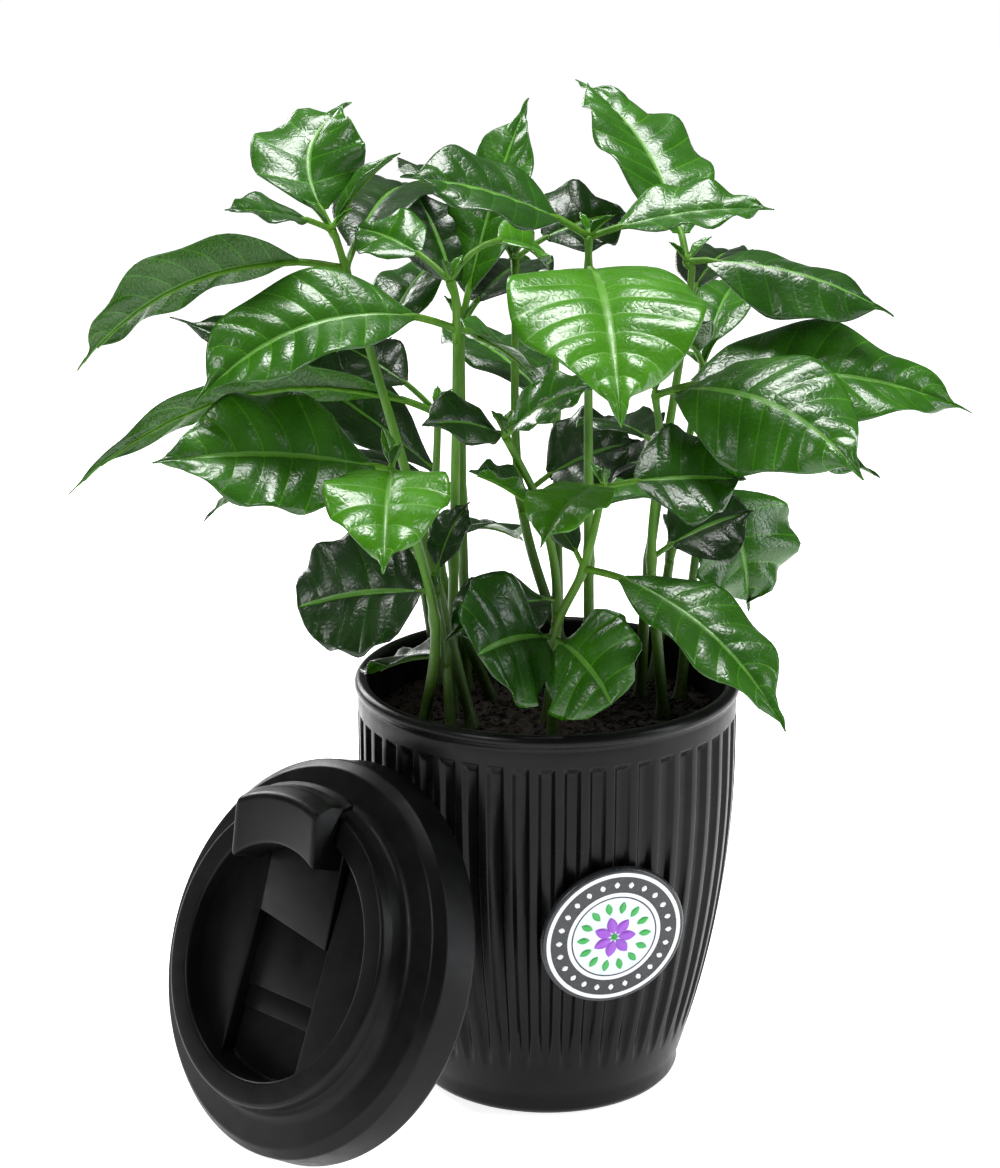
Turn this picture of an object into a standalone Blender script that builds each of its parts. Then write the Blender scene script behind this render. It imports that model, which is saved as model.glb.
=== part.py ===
"""Potted coffee plant: thirteen leaning coffee seedlings and three behind them, in a black fluted
cup pot with a round badge, and the cup's lid leaning on the pot's front left.

Metres, +Z up. The origin is the centre of the pot's flat underside, and the badge side faces -Y.
Sizes below are in millimetres and are turned into metres where a mesh is made.
"""

import math
import random
from typing import NamedTuple

import bmesh
import bpy
import numpy as np
from mathutils import Matrix, Vector
from mathutils.bvhtree import BVHTree

MM = 0.001
GAP = 0.3  # clear space between neighbouring solids
PARTS = "potted_coffee_plant"
CUTTERS = "cutters"

# Pot
POT_HEIGHT = 137.0
BELLY_RADIUS = 61.5  # fluted wall at its widest
BELLY_Z = 112.0
BARREL_RADIUS = 333.0  # arc that draws the wall in towards the foot
FOOT_RADIUS = 40.3
FOOT_ROUND = 4.0
WALL = 2.2
FLOOR = 3.0
RIM_RADIUS = 62.5
FLUTES = 48
FLUTE_DEPTH = 1.7
FLUTE_TOP = 126.4
FLUTE_SLOPE = 3.6  # height over which a flute's top runs out
FLUTE_FOOT = 13.0
FLUTE_FADE = 30.0

# Soil
SOIL_TOP = 122.0
SOIL_HEAP = 1.6  # rise at the middle
SOIL_RADIUS = 56.7
SOIL_RINGS = (
    (0, SOIL_TOP + SOIL_HEAP),
    (22, SOIL_TOP + SOIL_HEAP * 0.8),
    (42, SOIL_TOP + SOIL_HEAP * 0.2),
    (SOIL_RADIUS, SOIL_TOP),
)

# Badge
BADGE_RADIUS = 23.7
BADGE_THICK = 2.4
BADGE_Z = 69.0
BADGE_TURN = 22.0  # degrees from -Y towards +X
BADGE_EDGE = 0.8
BADGE_STEPS = 36

# Lid, in its own frame: z along its axis from the skirt's open edge, y up the slope
LID_RADIUS = 64.0
LID_STEPS = 48
LID_FLOOR = 10.4  # underside of the top
LID_SHOULDER = 12.4
RING_OUTER = 47.8
RING_INNER = 39.8
RING_TOP = 24.5
RECESS_FLOOR = 13.2
SEGMENT_TOP = 18.4
CHANNEL_HALF = 17.4
LID_FACING = -46.8  # degrees from -Y about +Z
LID_LEAN = 23.6  # degrees that its axis rises
LID_PLACE = (-68.3, -53.75)
LID_TURN = 15.0  # degrees that the flap is turned about the lid's axis

# Flap
FLAP_HALF = 16.6
FLAP_IN = 25.5
FLAP_OUT = 43.7
FLAP_TOP = 31.0
FLAP_EAVE = 52.6
STRIP_END = 9.5
STRIP_TOP = 21.5
STRIP_THICK = 2.0
HOOK_CLEAR = 0.9  # between the flap and the inside of the ring

# Stems and leaves
STEM_ROOT_RADIUS = 1.9
STEM_TIP_RADIUS = 1.1
FLARE_RADIUS = 0.9  # added at the soil
FLARE_HEIGHT = 6.0
CUT_HEIGHT = 1.0  # upright start, so that the cut is level
SHOOT_START = 4.0  # below the lowest leaf
LEAF_STEPS = 8
LEAF_THICK = 1.0
LEAF_REACH_PER_THICK = 80.0
STALK_THICK = 1.8
STALK_HALF = 0.9
BUD_HEIGHT = 2.6  # above the last joint
BUD_SHARE = 0.5  # of the stem's radius there
SLIVERS = (0.04, 0.025, 0.015, 0.008)  # widths of thin faces to dissolve, the widest that works
EXACT_FAILS = ("front", "right", "right_back", "low_right", "centre")  # EXACT leaves these in pieces


class Leaf(NamedTuple):
    """A leaf from one joint of its stem. Bearing, rise and reach are those of the straight line
    from the joint to the tip. Droop is how far it arches along that line. Roll lifts its left
    side, fold lifts both sides from the midrib, and sweep curves it to the left."""

    joint: int
    bearing: float
    rise: float
    reach: float
    width: float
    droop: float = 40
    roll: float = 0
    fold: float = 12
    petiole: float = 8
    sweep: float = 0
    round_blade: bool = False


class Seedling(NamedTuple):
    path: tuple  # soil, then each joint upwards
    leaves: tuple


SEEDLINGS = {
    "far_left": Seedling(
        path=((-24, -11, 122), (-40, -15, 191), (-62, -20, 273), (-66, -20, 285)),
        leaves=(
            Leaf(2, -169, -19, 87, 27, droop=70, roll=52, fold=20, petiole=14),
            Leaf(2, 76, 8, 83, 30, droop=55, roll=0, fold=10, petiole=10),
            Leaf(3, 82, 41, 47, 36, droop=35, roll=0, fold=10, petiole=6, sweep=-130),
            Leaf(3, -140, 15, 40, 18, droop=25, roll=-20, fold=10, petiole=10),
            Leaf(3, 37, 40, 33, 8, droop=40, roll=0, fold=50, petiole=3),
        ),
    ),
    "left": Seedling(
        path=((-31, 3, 122), (-30, -4, 176), (-28, -28, 256), (-30, -28, 271)),
        leaves=(
            Leaf(2, -156, -11, 86, 38, droop=75, roll=-30, fold=14, petiole=14),
            Leaf(2, 57, -28, 51, 32, droop=30, roll=20, fold=10, petiole=8),
            Leaf(3, 142, 18, 40, 24, droop=35, roll=-25, fold=10, petiole=14),
            Leaf(3, 43, -2, 41, 20, droop=110, roll=30, fold=20, petiole=20),
        ),
    ),
    "middle": Seedling(
        path=((14, 2, 122), (13, -5, 176), (12, -20, 273), (12, -20, 283)),
        leaves=(
            Leaf(2, -84, -20, 86, 58, droop=70, roll=0, fold=6, petiole=6),
            Leaf(3, -156, 20, 65, 34, droop=30, roll=-30, fold=10, petiole=12),
            Leaf(3, 10, 7, 58, 28, droop=25, roll=20, fold=16, petiole=10),
        ),
    ),
    "right_back": Seedling(
        path=((31, 20, 122), (33, 12, 172), (44, 6, 259), (43, 5, 271)),
        leaves=(
            Leaf(2, 74, 3, 67, 24, droop=30, roll=0, fold=12, petiole=8),
            Leaf(2, -122, -9, 31, 20, droop=50, roll=0, fold=12, petiole=8),
            Leaf(3, 118, 33, 88, 40, droop=35, roll=10, fold=10, petiole=10, sweep=30),
            Leaf(3, -4, -14, 67, 32, droop=40, roll=30, fold=-25, petiole=6),
        ),
    ),
    "right": Seedling(
        path=((38, 2, 122), (33, -5, 177), (35, -10, 214), (33, -16, 233)),
        leaves=(
            Leaf(1, 17, 21, 37, 32, droop=30, roll=40, fold=12, petiole=8),
            Leaf(2, -8, -5, 69, 30, droop=50, roll=20, fold=12, petiole=12),
            Leaf(2, 122, -1, 40, 30, droop=50, roll=0, fold=12, petiole=8),
            Leaf(3, 9, -5, 102, 42, droop=45, roll=30, fold=8, petiole=12),
            Leaf(3, -37, -11, 77, 46, droop=70, roll=42, fold=-18, petiole=8),
        ),
    ),
    "front_left": Seedling(
        path=((-40, -20, 122), (-35, -35, 166), (-47, -48, 217)),
        leaves=(
            Leaf(2, -159, 7, 74, 42, droop=25, roll=-45, fold=8, petiole=6),
            Leaf(2, -90, -19, 53, 38, droop=60, roll=0, fold=14, petiole=4),
        ),
    ),
    "inner_left": Seedling(
        path=((-18, 14, 122), (-35, 5, 173), (-35, 0, 223)),
        leaves=(
            Leaf(2, -158, -7, 120, 17, droop=72, roll=60, fold=10, petiole=12),
            Leaf(2, 164, 31, 42, 26, droop=30, roll=-20, fold=8, petiole=14),
        ),
    ),
    "low_left": Seedling(
        path=((-30, -27, 122), (-32, -27, 152), (-35, -30, 173)),
        leaves=(
            Leaf(1, 147, -22, 31, 26, droop=30, roll=0, fold=12, petiole=4, round_blade=True),
            Leaf(2, 175, -8, 44, 44, droop=30, roll=-45, fold=5, petiole=4, round_blade=True),
            Leaf(2, 53, 56, 31, 14, droop=60, roll=0, fold=12, petiole=8),
        ),
    ),
    "front": Seedling(
        path=((2, -28, 122), (2, -38, 161), (11, -40, 184), (17, -40, 210)),
        leaves=(
            Leaf(1, -58, -20, 35, 38, droop=40, roll=60, fold=0, petiole=4, round_blade=True),
            Leaf(1, -136, 3, 32, 44, droop=40, roll=-60, fold=0, petiole=4, round_blade=True),
            Leaf(2, -37, -26, 83, 32, droop=60, roll=10, fold=8, petiole=14),
            Leaf(2, 151, 46, 27, 20, droop=40, roll=0, fold=12, petiole=6),
            Leaf(3, 13, 0, 45, 38, droop=20, roll=35, fold=8, petiole=10),
            Leaf(3, -117, -11, 43, 26, droop=60, roll=0, fold=10, petiole=6),
        ),
    ),
    "centre": Seedling(
        path=((0, -8, 122), (3, -18, 167), (-2, -25, 198), (-13, -30, 223)),
        leaves=(
            Leaf(1, -137, -4, 47, 26, droop=40, roll=-35, fold=10, petiole=4),
            Leaf(2, -167, 32, 27, 22, droop=30, roll=0, fold=28, petiole=5),
            Leaf(3, -10, 31, 33, 22, droop=50, roll=30, fold=10, petiole=3),
            Leaf(3, -141, 15, 33, 22, droop=40, roll=-35, fold=10, petiole=3),
        ),
    ),
    "back_left": Seedling(
        path=((-27, 26, 122), (-28, 22, 189), (-28, 20, 247)),
        leaves=(
            Leaf(1, -179, -5, 85, 24, droop=90, roll=0, fold=12, petiole=14),
            Leaf(1, -173, 34, 112, 36, droop=30, roll=-30, fold=12, petiole=14),
            Leaf(2, 55, 62, 78, 28, droop=20, roll=0, fold=12, petiole=12),
            Leaf(2, 128, 58, 48, 34, droop=40, roll=0, fold=12, petiole=14),
            Leaf(2, 69, 8, 67, 32, droop=40, roll=0, fold=12, petiole=14),
        ),
    ),
    "back_middle": Seedling(
        path=((10, 28, 122), (-9, 30, 187), (-11, 34, 266)),
        leaves=(
            Leaf(1, 0, 27, 44, 36, droop=40, roll=35, fold=12, petiole=12),
            Leaf(2, 24, 17, 42, 34, droop=40, roll=30, fold=12, petiole=12),
            Leaf(2, 121, 13, 80, 36, droop=50, roll=12, fold=12, petiole=12),
        ),
    ),
    "low_right": Seedling(
        path=((44, 18, 122), (47, 20, 156), (51, 18, 200)),
        leaves=(
            Leaf(2, -29, -70, 48, 46, droop=48, roll=20, fold=8, petiole=8),
            Leaf(2, 148, -8, 40, 34, droop=40, roll=-20, fold=12, petiole=8),
            Leaf(2, 63, -8, 82, 36, droop=60, roll=0, fold=12, petiole=10),
        ),
    ),
}


class Back(NamedTuple):
    """A seedling behind the others, whose leaf pairs follow from its first bearing."""

    root: tuple
    top: tuple
    first: float
    seed: int


BACK_JOINTS = (0.35, 0.66, 1.0)  # of the stem's height
BACK_REACH = (58.0, 76.0, 62.0)
BACK_RISE = (-8.0, 4.0, 24.0)
BACK_WIDTH = 0.44  # of the reach
BACK_SEEDLINGS = {
    "rear_left": Back((-36, 32), (-58, 66, 226), 60, 3),
    "rear_middle": Back((4, 47), (2, 82, 238), 20, 5),
    "rear_right": Back((36, 38), (52, 66, 224), 75, 8),
}
SPACE_HALF_WIDTH = 96.0  # space that the rear leaves keep to
SPACE_BACK = 150.0
SPACE_TOP = 262.0
POT_CLEAR = 139.0


# --- helpers ---------------------------------------------------------------------------------


def clear_scene():
    for obj in list(bpy.data.objects):
        bpy.data.objects.remove(obj, do_unlink=True)


def make_material(name, colour, roughness):
    material = bpy.data.materials.new(name)
    material.use_nodes = True
    shader = material.node_tree.nodes["Principled BSDF"]
    shader.inputs["Base Color"].default_value = (*colour, 1.0)
    shader.inputs["Roughness"].default_value = roughness
    return material


def collection_of(name):
    """The collection of this name, made when it is first asked for."""
    found = bpy.data.collections.get(name)
    if not found:
        found = bpy.data.collections.new(name)
        bpy.context.scene.collection.children.link(found)
    return found


def add_object(name, data, material=None, smooth=True):
    """A part where it has a material, or a cutter where it has none."""
    obj = bpy.data.objects.new(name, data)
    collection_of(PARTS if material else CUTTERS).objects.link(obj)
    obj.hide_render = not material
    obj.display_type = "TEXTURED" if material else "WIRE"
    if material:
        data.materials.append(material)
    if obj.type == "MESH":
        data.polygons.foreach_set("use_smooth", [smooth] * len(data.polygons))
    return obj


def sewn(mesh):
    """The mesh with its doubled points made one and its faces turned outwards."""
    shape = bmesh.new()
    shape.from_mesh(mesh)
    bmesh.ops.remove_doubles(shape, verts=shape.verts, dist=0.00001)
    bmesh.ops.recalc_face_normals(shape, faces=shape.faces)
    if shape.calc_volume(signed=True) < 0:
        bmesh.ops.reverse_faces(shape, faces=shape.faces)
    shape.to_mesh(mesh)
    shape.free()
    return mesh


def mesh_of(points, faces):
    """A mesh from points in millimetres."""
    mesh = bpy.data.meshes.new("shape")
    mesh.from_pydata([tuple(MM * c for c in point) for point in points], [], faces)
    return sewn(mesh)


def evaluated_copy(obj):
    graph = bpy.context.evaluated_depsgraph_get()
    return bpy.data.meshes.new_from_object(obj.evaluated_get(graph))


def applied(obj):
    """The object with its modifiers applied and its own material alone."""
    mesh = evaluated_copy(obj)
    material = obj.data.materials[0] if obj.data.materials else None
    obj.modifiers.clear()
    obj.data = mesh
    mesh.materials.clear()
    if material:
        mesh.materials.append(material)
    return obj


def turned(name, profile, steps, material=None):
    """A solid of revolution about Z. The profile runs from the axis, over the top, down."""
    mesh = bpy.data.meshes.new(name)
    edges = [(i, i + 1) for i in range(len(profile) - 1)]
    mesh.from_pydata([(r * MM, 0, z * MM) for r, z in profile], edges, [])
    obj = add_object(name, mesh, material)
    screw = obj.modifiers.new("Turn", "SCREW")
    screw.steps = steps
    screw.render_steps = steps
    screw.use_merge_vertices = True
    screw.merge_threshold = 0.00001
    return applied(obj)


def box(name, low, high):
    shape = bmesh.new()
    bmesh.ops.create_cube(shape, size=1.0)
    size = Vector(high) - Vector(low)
    middle = (Vector(high) + Vector(low)) / 2
    bmesh.ops.scale(shape, vec=size * MM, verts=shape.verts)
    bmesh.ops.translate(shape, vec=middle * MM, verts=shape.verts)
    mesh = bpy.data.meshes.new(name)
    shape.to_mesh(mesh)
    shape.free()
    return add_object(name, mesh, smooth=False)


def prism(name, outline, half_width, material=None):
    """An outline of (y, z) carried along X by half_width each way."""
    curve = bpy.data.curves.new(name, "CURVE")
    curve.dimensions = "2D"
    curve.fill_mode = "BOTH"
    curve.extrude = half_width * MM
    spline = curve.splines.new("POLY")
    spline.points.add(len(outline) - 1)
    for target, (y, z) in zip(spline.points, outline):
        target.co = (y * MM, z * MM, 0, 1)
    spline.use_cyclic_u = True
    guide = add_object(name + "_outline", curve)
    mesh = evaluated_copy(guide)
    bpy.data.objects.remove(guide, do_unlink=True)
    mesh.transform(Matrix(((0, 0, 1, 0), (1, 0, 0, 0), (0, 1, 0, 0), (0, 0, 0, 1))))
    return add_object(name, sewn(mesh), material, smooth=False)


def combine(obj, other, operation, solver="EXACT"):
    """Applies one Boolean and removes the other object."""
    boolean = obj.modifiers.new(operation.title(), "BOOLEAN")
    boolean.operation = operation
    boolean.solver = solver
    boolean.object = other
    applied(obj)
    bpy.data.objects.remove(other, do_unlink=True)
    return obj


def rounded(obj, width, segments=2):
    """The object with its sharp edges rounded."""
    bevel = obj.modifiers.new("Round", "BEVEL")
    bevel.width = width * MM
    bevel.segments = segments
    bevel.limit_method = "ANGLE"
    bevel.angle_limit = math.radians(35)
    return applied(obj)


def arc(centre, radius, start, end, steps):
    """Points along an arc, angles in degrees from +r towards +z."""
    found = []
    for i in range(steps + 1):
        angle = math.radians(start + (end - start) * i / steps)
        found.append((centre[0] + radius * math.cos(angle), centre[1] + radius * math.sin(angle)))
    return found


# --- pot -------------------------------------------------------------------------------------


def wall_radius(z):
    """Outside of the fluted wall at a height."""
    fall = max(0.0, BELLY_Z - z)
    return BELLY_RADIUS - (BARREL_RADIUS - math.sqrt(BARREL_RADIUS**2 - fall**2))


def flute_depth(z):
    """How deep a flute is at a height."""
    if z >= FLUTE_TOP or z <= FLUTE_FOOT:
        return 0.0
    from_top = min(1.0, (FLUTE_TOP - z) / FLUTE_SLOPE)
    from_foot = min(1.0, (z - FLUTE_FOOT) / FLUTE_FADE)
    return FLUTE_DEPTH * from_top * from_foot


def make_pot(material):
    roll = arc((RIM_RADIUS - 2.3, POT_HEIGHT - 2.3), 2.3, 90, -50, 3)
    wall = (FLUTE_TOP, FLUTE_TOP - FLUTE_SLOPE, 84, FLUTE_FOOT + FLUTE_FADE, FLUTE_FOOT)
    foot = arc((FOOT_RADIUS, FOOT_ROUND), FOOT_ROUND, -15, -90, 2)
    profile = [(0, POT_HEIGHT), (RIM_RADIUS - 4.2, POT_HEIGHT - 0.9)] + roll
    profile += [(wall_radius(z), z) for z in wall] + foot + [(0, 0)]
    pot = turned("pot", profile, 3 * FLUTES, material)
    cut_flutes(pot.data)
    inner = [(0, POT_HEIGHT + 5), (RIM_RADIUS - 3.6, POT_HEIGHT + 5), (RIM_RADIUS - 3.6, POT_HEIGHT - 3)]
    inner += [(wall_radius(z) - WALL - FLUTE_DEPTH, z) for z in (POT_HEIGHT - 6, 60, FLOOR)]
    cavity = turned("cavity", inner + [(0, FLOOR)], FLUTES)
    return combine(pot, cavity, "DIFFERENCE")


def cut_flutes(mesh):
    """Moves every other column of the wall in, which leaves a V-shaped flute between two ribs."""
    pitch = 2 * math.pi / FLUTES
    for point in mesh.vertices:
        x, y, z = (c / MM for c in point.co)
        radius = math.hypot(x, y)
        if radius < 1 or round(2 * math.atan2(y, x) / pitch) % 2 == 0:
            continue
        share = (radius - flute_depth(z)) / radius
        point.co.x *= share
        point.co.y *= share


def soil_height(point):
    """Height of the soil just inwards of a stem's foot, whose cut is level."""
    radius = max(0.0, math.hypot(point[0], point[1]) - STEM_ROOT_RADIUS - FLARE_RADIUS)
    return float(np.interp(radius, [r for r, _ in SOIL_RINGS], [z for _, z in SOIL_RINGS]))


def make_soil(material):
    top = list(SOIL_RINGS)
    side = [(wall_radius(z) - WALL - FLUTE_DEPTH - 2 * GAP, z) for z in (60, FLOOR + GAP)]
    return turned("soil", top + side + [(0, FLOOR + GAP)], FLUTES, material)


def make_badge(material):
    """A slightly domed disc with its back flat against the ribs."""
    face = [(0, BADGE_THICK + 0.5), (BADGE_RADIUS * 0.6, BADGE_THICK + 0.3)]
    face += [(BADGE_RADIUS - BADGE_EDGE, BADGE_THICK)]
    side = [(BADGE_RADIUS, BADGE_THICK - BADGE_EDGE), (BADGE_RADIUS, 0), (0, 0)]
    badge = turned("badge", face + side, BADGE_STEPS, material)
    slope = math.degrees(math.atan2(wall_radius(BADGE_Z + 10) - wall_radius(BADGE_Z - 10), 20))
    out = wall_radius(BADGE_Z) + GAP + 0.35
    turn = Matrix.Rotation(math.radians(BADGE_TURN), 4, "Z")
    place = Matrix.Translation((0, -out * MM, BADGE_Z * MM))
    tilt = Matrix.Rotation(math.radians(90 + slope), 4, "X")
    badge.data.transform(turn @ place @ tilt)
    return badge


# --- lid -------------------------------------------------------------------------------------


def lid_matrix():
    """From the lid's own frame to its place, leaning back on the pot."""
    centre = Vector((*LID_PLACE, LID_RADIUS * math.cos(math.radians(LID_LEAN)) + GAP)) * MM
    facing = Matrix.Rotation(math.radians(LID_FACING), 4, "Z")
    lean = Matrix.Rotation(math.radians(90 - LID_LEAN), 4, "X")
    spin = Matrix.Rotation(math.radians(LID_TURN), 4, "Z")
    return Matrix.Translation(centre) @ facing @ lean @ spin


def make_lid_shell(material):
    crest = [(0, RECESS_FLOOR), (RING_INNER - 1.5, RECESS_FLOOR), (RING_INNER, RECESS_FLOOR + 1.5)]
    crest += [(RING_INNER + 0.3, RING_TOP - 1.2), (RING_INNER + 1.5, RING_TOP), (RING_OUTER - 1.5, RING_TOP)]
    neck = [(RING_OUTER, RING_TOP - 1.5), (RING_OUTER + 0.8, 20.0), (51.5, 16.0), (56.0, 13.4)]
    skirt = [(60.5, LID_SHOULDER), (62.6, 11.2), (63.4, 9.0), (LID_RADIUS, 1.0), (LID_RADIUS - 0.8, 0)]
    hollow = [(61.4, 0), (60.4, 7.5), (56.0, LID_FLOOR - 0.8), (50.0, LID_FLOOR), (0, LID_FLOOR)]
    shell = turned("lid_shell", crest + neck + skirt + hollow, LID_STEPS, material)
    for side in (-1, 1):
        combine(shell, lid_segment(side), "UNION")
    return shell


def lid_segment(side):
    """Raised D-shaped part of the recess floor, beside the channel for the flap."""
    low, high = RECESS_FLOOR - 1.0, SEGMENT_TOP
    drum = [(0, high), (RING_INNER + 0.2, high), (RING_INNER + 0.9, low), (0, low)]
    segment = turned("segment", drum, LID_STEPS)
    reach = 2 * RING_INNER
    edges = sorted((side * CHANNEL_HALF, side * reach))
    half = box("half", (edges[0], -reach, low - 1), (edges[1], reach, high + 1))
    return combine(segment, half, "INTERSECT")


def make_lid_flap(material):
    """Drinking flap: a wedge that hooks over the ring, and a strip that runs into the recess."""
    ring_in = math.sqrt(RING_INNER**2 - FLAP_HALF**2) - HOOK_CLEAR
    ring_out = RING_OUTER + 0.8 + 2 * GAP
    over = RING_TOP + GAP + 0.2
    wedge = [
        (FLAP_IN, STRIP_TOP),
        (FLAP_IN, FLAP_TOP - 1.5),
        (FLAP_IN + 2.0, FLAP_TOP),
        (FLAP_OUT, FLAP_TOP),
        (FLAP_EAVE, 19.5),
        (FLAP_EAVE, 18.2),
        (ring_in, STRIP_TOP - STRIP_THICK),
        (STRIP_END, STRIP_TOP - STRIP_THICK - 2.4),
        (STRIP_END, STRIP_TOP - 2.4),
    ]
    flap = rounded(prism("lid_flap", wedge, FLAP_HALF, material), 0.9)
    groove = [(ring_in, 0), (ring_in, over), (RING_OUTER - 1.2, over), (ring_out, over - 2)]
    groove += [(ring_out, 20.2), (ring_out + 1.8, 17.5), (ring_out + 1.8, 0)]
    return combine(flap, prism("groove", groove, FLAP_HALF + 2), "DIFFERENCE")


# --- plant -----------------------------------------------------------------------------------


def smooth_path(points, steps=4):
    """Points along a Catmull-Rom curve through the given ones."""
    given = [Vector(p) for p in points]
    given = [2 * given[0] - given[1]] + given + [2 * given[-1] - given[-2]]
    found = []
    for a, b, c, d in zip(given, given[1:], given[2:], given[3:]):
        for i in range(steps):
            t = i / steps
            square, cube = 2 * a - 5 * b + 4 * c - d, 3 * b - a - 3 * c + d
            found.append(0.5 * (2 * b + (c - a) * t + square * t**2 + cube * t**3))
    return found + [given[-2]]


def stem_radius(z, top):
    """Stem's radius at a height, with the flare at the soil."""
    rise = min(1.0, max(0.0, (z - SOIL_TOP) / (top - SOIL_TOP)))
    flare = FLARE_RADIUS * max(0.0, 1 - (z - SOIL_TOP) / FLARE_HEIGHT) ** 2
    return STEM_ROOT_RADIUS + (STEM_TIP_RADIUS - STEM_ROOT_RADIUS) * rise + flare


def clipped(path, low, high):
    """The stretch of a rising path between two heights."""

    def at(z):
        for a, b in zip(path, path[1:]):
            if a.z <= z <= b.z:
                return a.lerp(b, (z - a.z) / (b.z - a.z))
        return path[-1].copy()

    middle = [p for p in path if low + 1.5 < p.z < high - 1.5]
    return [at(low)] + middle + [at(high)]


def rod(name, points, radii, material=None):
    """A round rod along points, as a curve with filled caps made into a welded mesh."""
    curve = bpy.data.curves.new(name, "CURVE")
    curve.dimensions = "3D"
    curve.bevel_depth = MM
    curve.bevel_resolution = 1
    curve.use_fill_caps = True
    spline = curve.splines.new("POLY")
    spline.points.add(len(points) - 1)
    for target, point, radius in zip(spline.points, points, radii):
        target.co = (*(Vector(point) * MM), 1.0)
        target.radius = radius
    guide = add_object(name + "_line", curve)
    mesh = evaluated_copy(guide)
    bpy.data.objects.remove(guide, do_unlink=True)
    return add_object(name, sewn(mesh), material)


def leaf_line(leaf, base, steps):
    """Points, directions, right sides and upper normals along a leaf's midrib."""
    share = np.linspace(0, 1, steps + 1)
    rise = np.radians(leaf.rise + leaf.droop * (0.5 - share))
    turn = np.radians(leaf.bearing + leaf.sweep * (share - 0.5))
    ahead = np.stack([np.cos(rise) * np.cos(turn), np.cos(rise) * np.sin(turn), np.sin(rise)], 1)
    line = np.vstack([np.zeros(3), np.cumsum((ahead[1:] + ahead[:-1]) / 2, 0)])
    swing = math.radians(leaf.bearing) - math.atan2(line[-1][1], line[-1][0])
    cos, sin = math.cos(swing), math.sin(swing)
    about = np.array([[cos, sin, 0], [-sin, cos, 0], [0, 0, 1]])
    line, ahead = line @ about, ahead @ about
    line *= leaf.reach / np.linalg.norm(line[-1])
    right = np.stack([ahead[:, 1], -ahead[:, 0], 0 * share], 1)
    right /= np.linalg.norm(right, axis=1)[:, None]
    return np.array(base) + line, right, np.cross(right, ahead), share


def leaf_half_width(leaf, share):
    """Half of the blade's width along the midrib, which runs on into the petiole."""
    start = leaf.petiole / leaf.reach
    blade = np.clip((share - start) / (1 - start), 0, 1)
    if leaf.round_blade:
        form = 2 * np.sqrt(blade * (1 - blade))
    else:
        form = blade**1.05 * (1 - blade) ** 1.2 / 0.2103
    return leaf.width / 2 * form + STALK_HALF * (1 - blade) ** 2 + 0.25


def leaf_shape(leaf, base, margin=0.0):
    """Points and faces of one leaf: a lens-shaped section carried along its midrib."""
    line, right, normal, share = leaf_line(leaf, base, LEAF_STEPS)
    roll = (math.radians(leaf.roll) * np.clip(share / 0.25, 0, 1))[:, None]
    across = right * np.cos(roll) - normal * np.sin(roll)
    above = right * np.sin(roll) + normal * np.cos(roll)
    half = leaf_half_width(leaf, share) + margin
    thick = max(LEAF_THICK, leaf.reach / LEAF_REACH_PER_THICK) * np.minimum(1, 0.35 + 1.3 * (1 - share))
    thick = np.where(share < leaf.petiole / leaf.reach, STALK_THICK, thick) + 2 * margin
    fold = math.radians(leaf.fold)
    points = []
    for i in range(LEAF_STEPS + 1):
        for side, up in ((-1, 0), (0, 0.5), (1, 0), (0, -0.5)):
            out = across[i] * half[i] * side * math.cos(fold)
            lift = half[i] * abs(side) * math.sin(fold) + up * thick[i]
            points.append(line[i] + out + above[i] * lift)
    faces = [(0, 1, 2, 3), tuple(4 * LEAF_STEPS + i for i in (3, 2, 1, 0))]
    for i in range(LEAF_STEPS):
        for j in range(4):
            k = (j + 1) % 4
            faces.append((4 * i + j, 4 * i + 4 + j, 4 * i + 4 + k, 4 * i + k))
    return points, faces


def tree_of(points, faces):
    return BVHTree.FromPolygons([tuple(p) for p in points], faces, all_triangles=False)


def object_tree(obj):
    points = [tuple(v.co / MM) for v in obj.data.vertices]
    return tree_of(points, [tuple(f.vertices) for f in obj.data.polygons])


def make_mass(name, shoot, shapes):
    """One solid of a leafy shoot: the leaves' roots are sunk in the shoot and all are fused."""
    leaves = bpy.data.collections.new(name + "_leaves")
    collection_of(CUTTERS).children.link(leaves)
    for points, faces in shapes:
        obj = bpy.data.objects.new("leaf", mesh_of(points, faces))
        obj.hide_render = True
        leaves.objects.link(obj)
    union = shoot.modifiers.new("Fuse", "BOOLEAN")
    union.operation = "UNION"
    union.operand_type = "COLLECTION"
    union.solver = "MANIFOLD" if name in EXACT_FAILS else "EXACT"
    union.collection = leaves
    applied(shoot)
    for obj in list(leaves.objects):
        bpy.data.objects.remove(obj, do_unlink=True)
    bpy.data.collections.remove(leaves)
    keep_largest(shoot.data)
    drop_slivers(shoot.data)
    shoot.data.polygons.foreach_set("use_smooth", [False] * len(shoot.data.polygons))


def keep_largest(mesh):
    """Drops the loose scraps and the sealed hollows that fusing can leave."""
    shape = bmesh.new()
    shape.from_mesh(mesh)
    left = set(shape.verts)
    islands = []
    while left:
        island, edge = set(), [left.pop()]
        while edge:
            vert = edge.pop()
            island.add(vert)
            near = {e.other_vert(vert) for e in vert.link_edges} & left
            left -= near
            edge.extend(near)
        islands.append(island)
    islands.sort(key=len)
    for island in islands[:-1]:
        bmesh.ops.delete(shape, geom=list(island), context="VERTS")
    bmesh.ops.triangulate(shape, faces=shape.faces)
    shape.to_mesh(mesh)
    shape.free()


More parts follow.
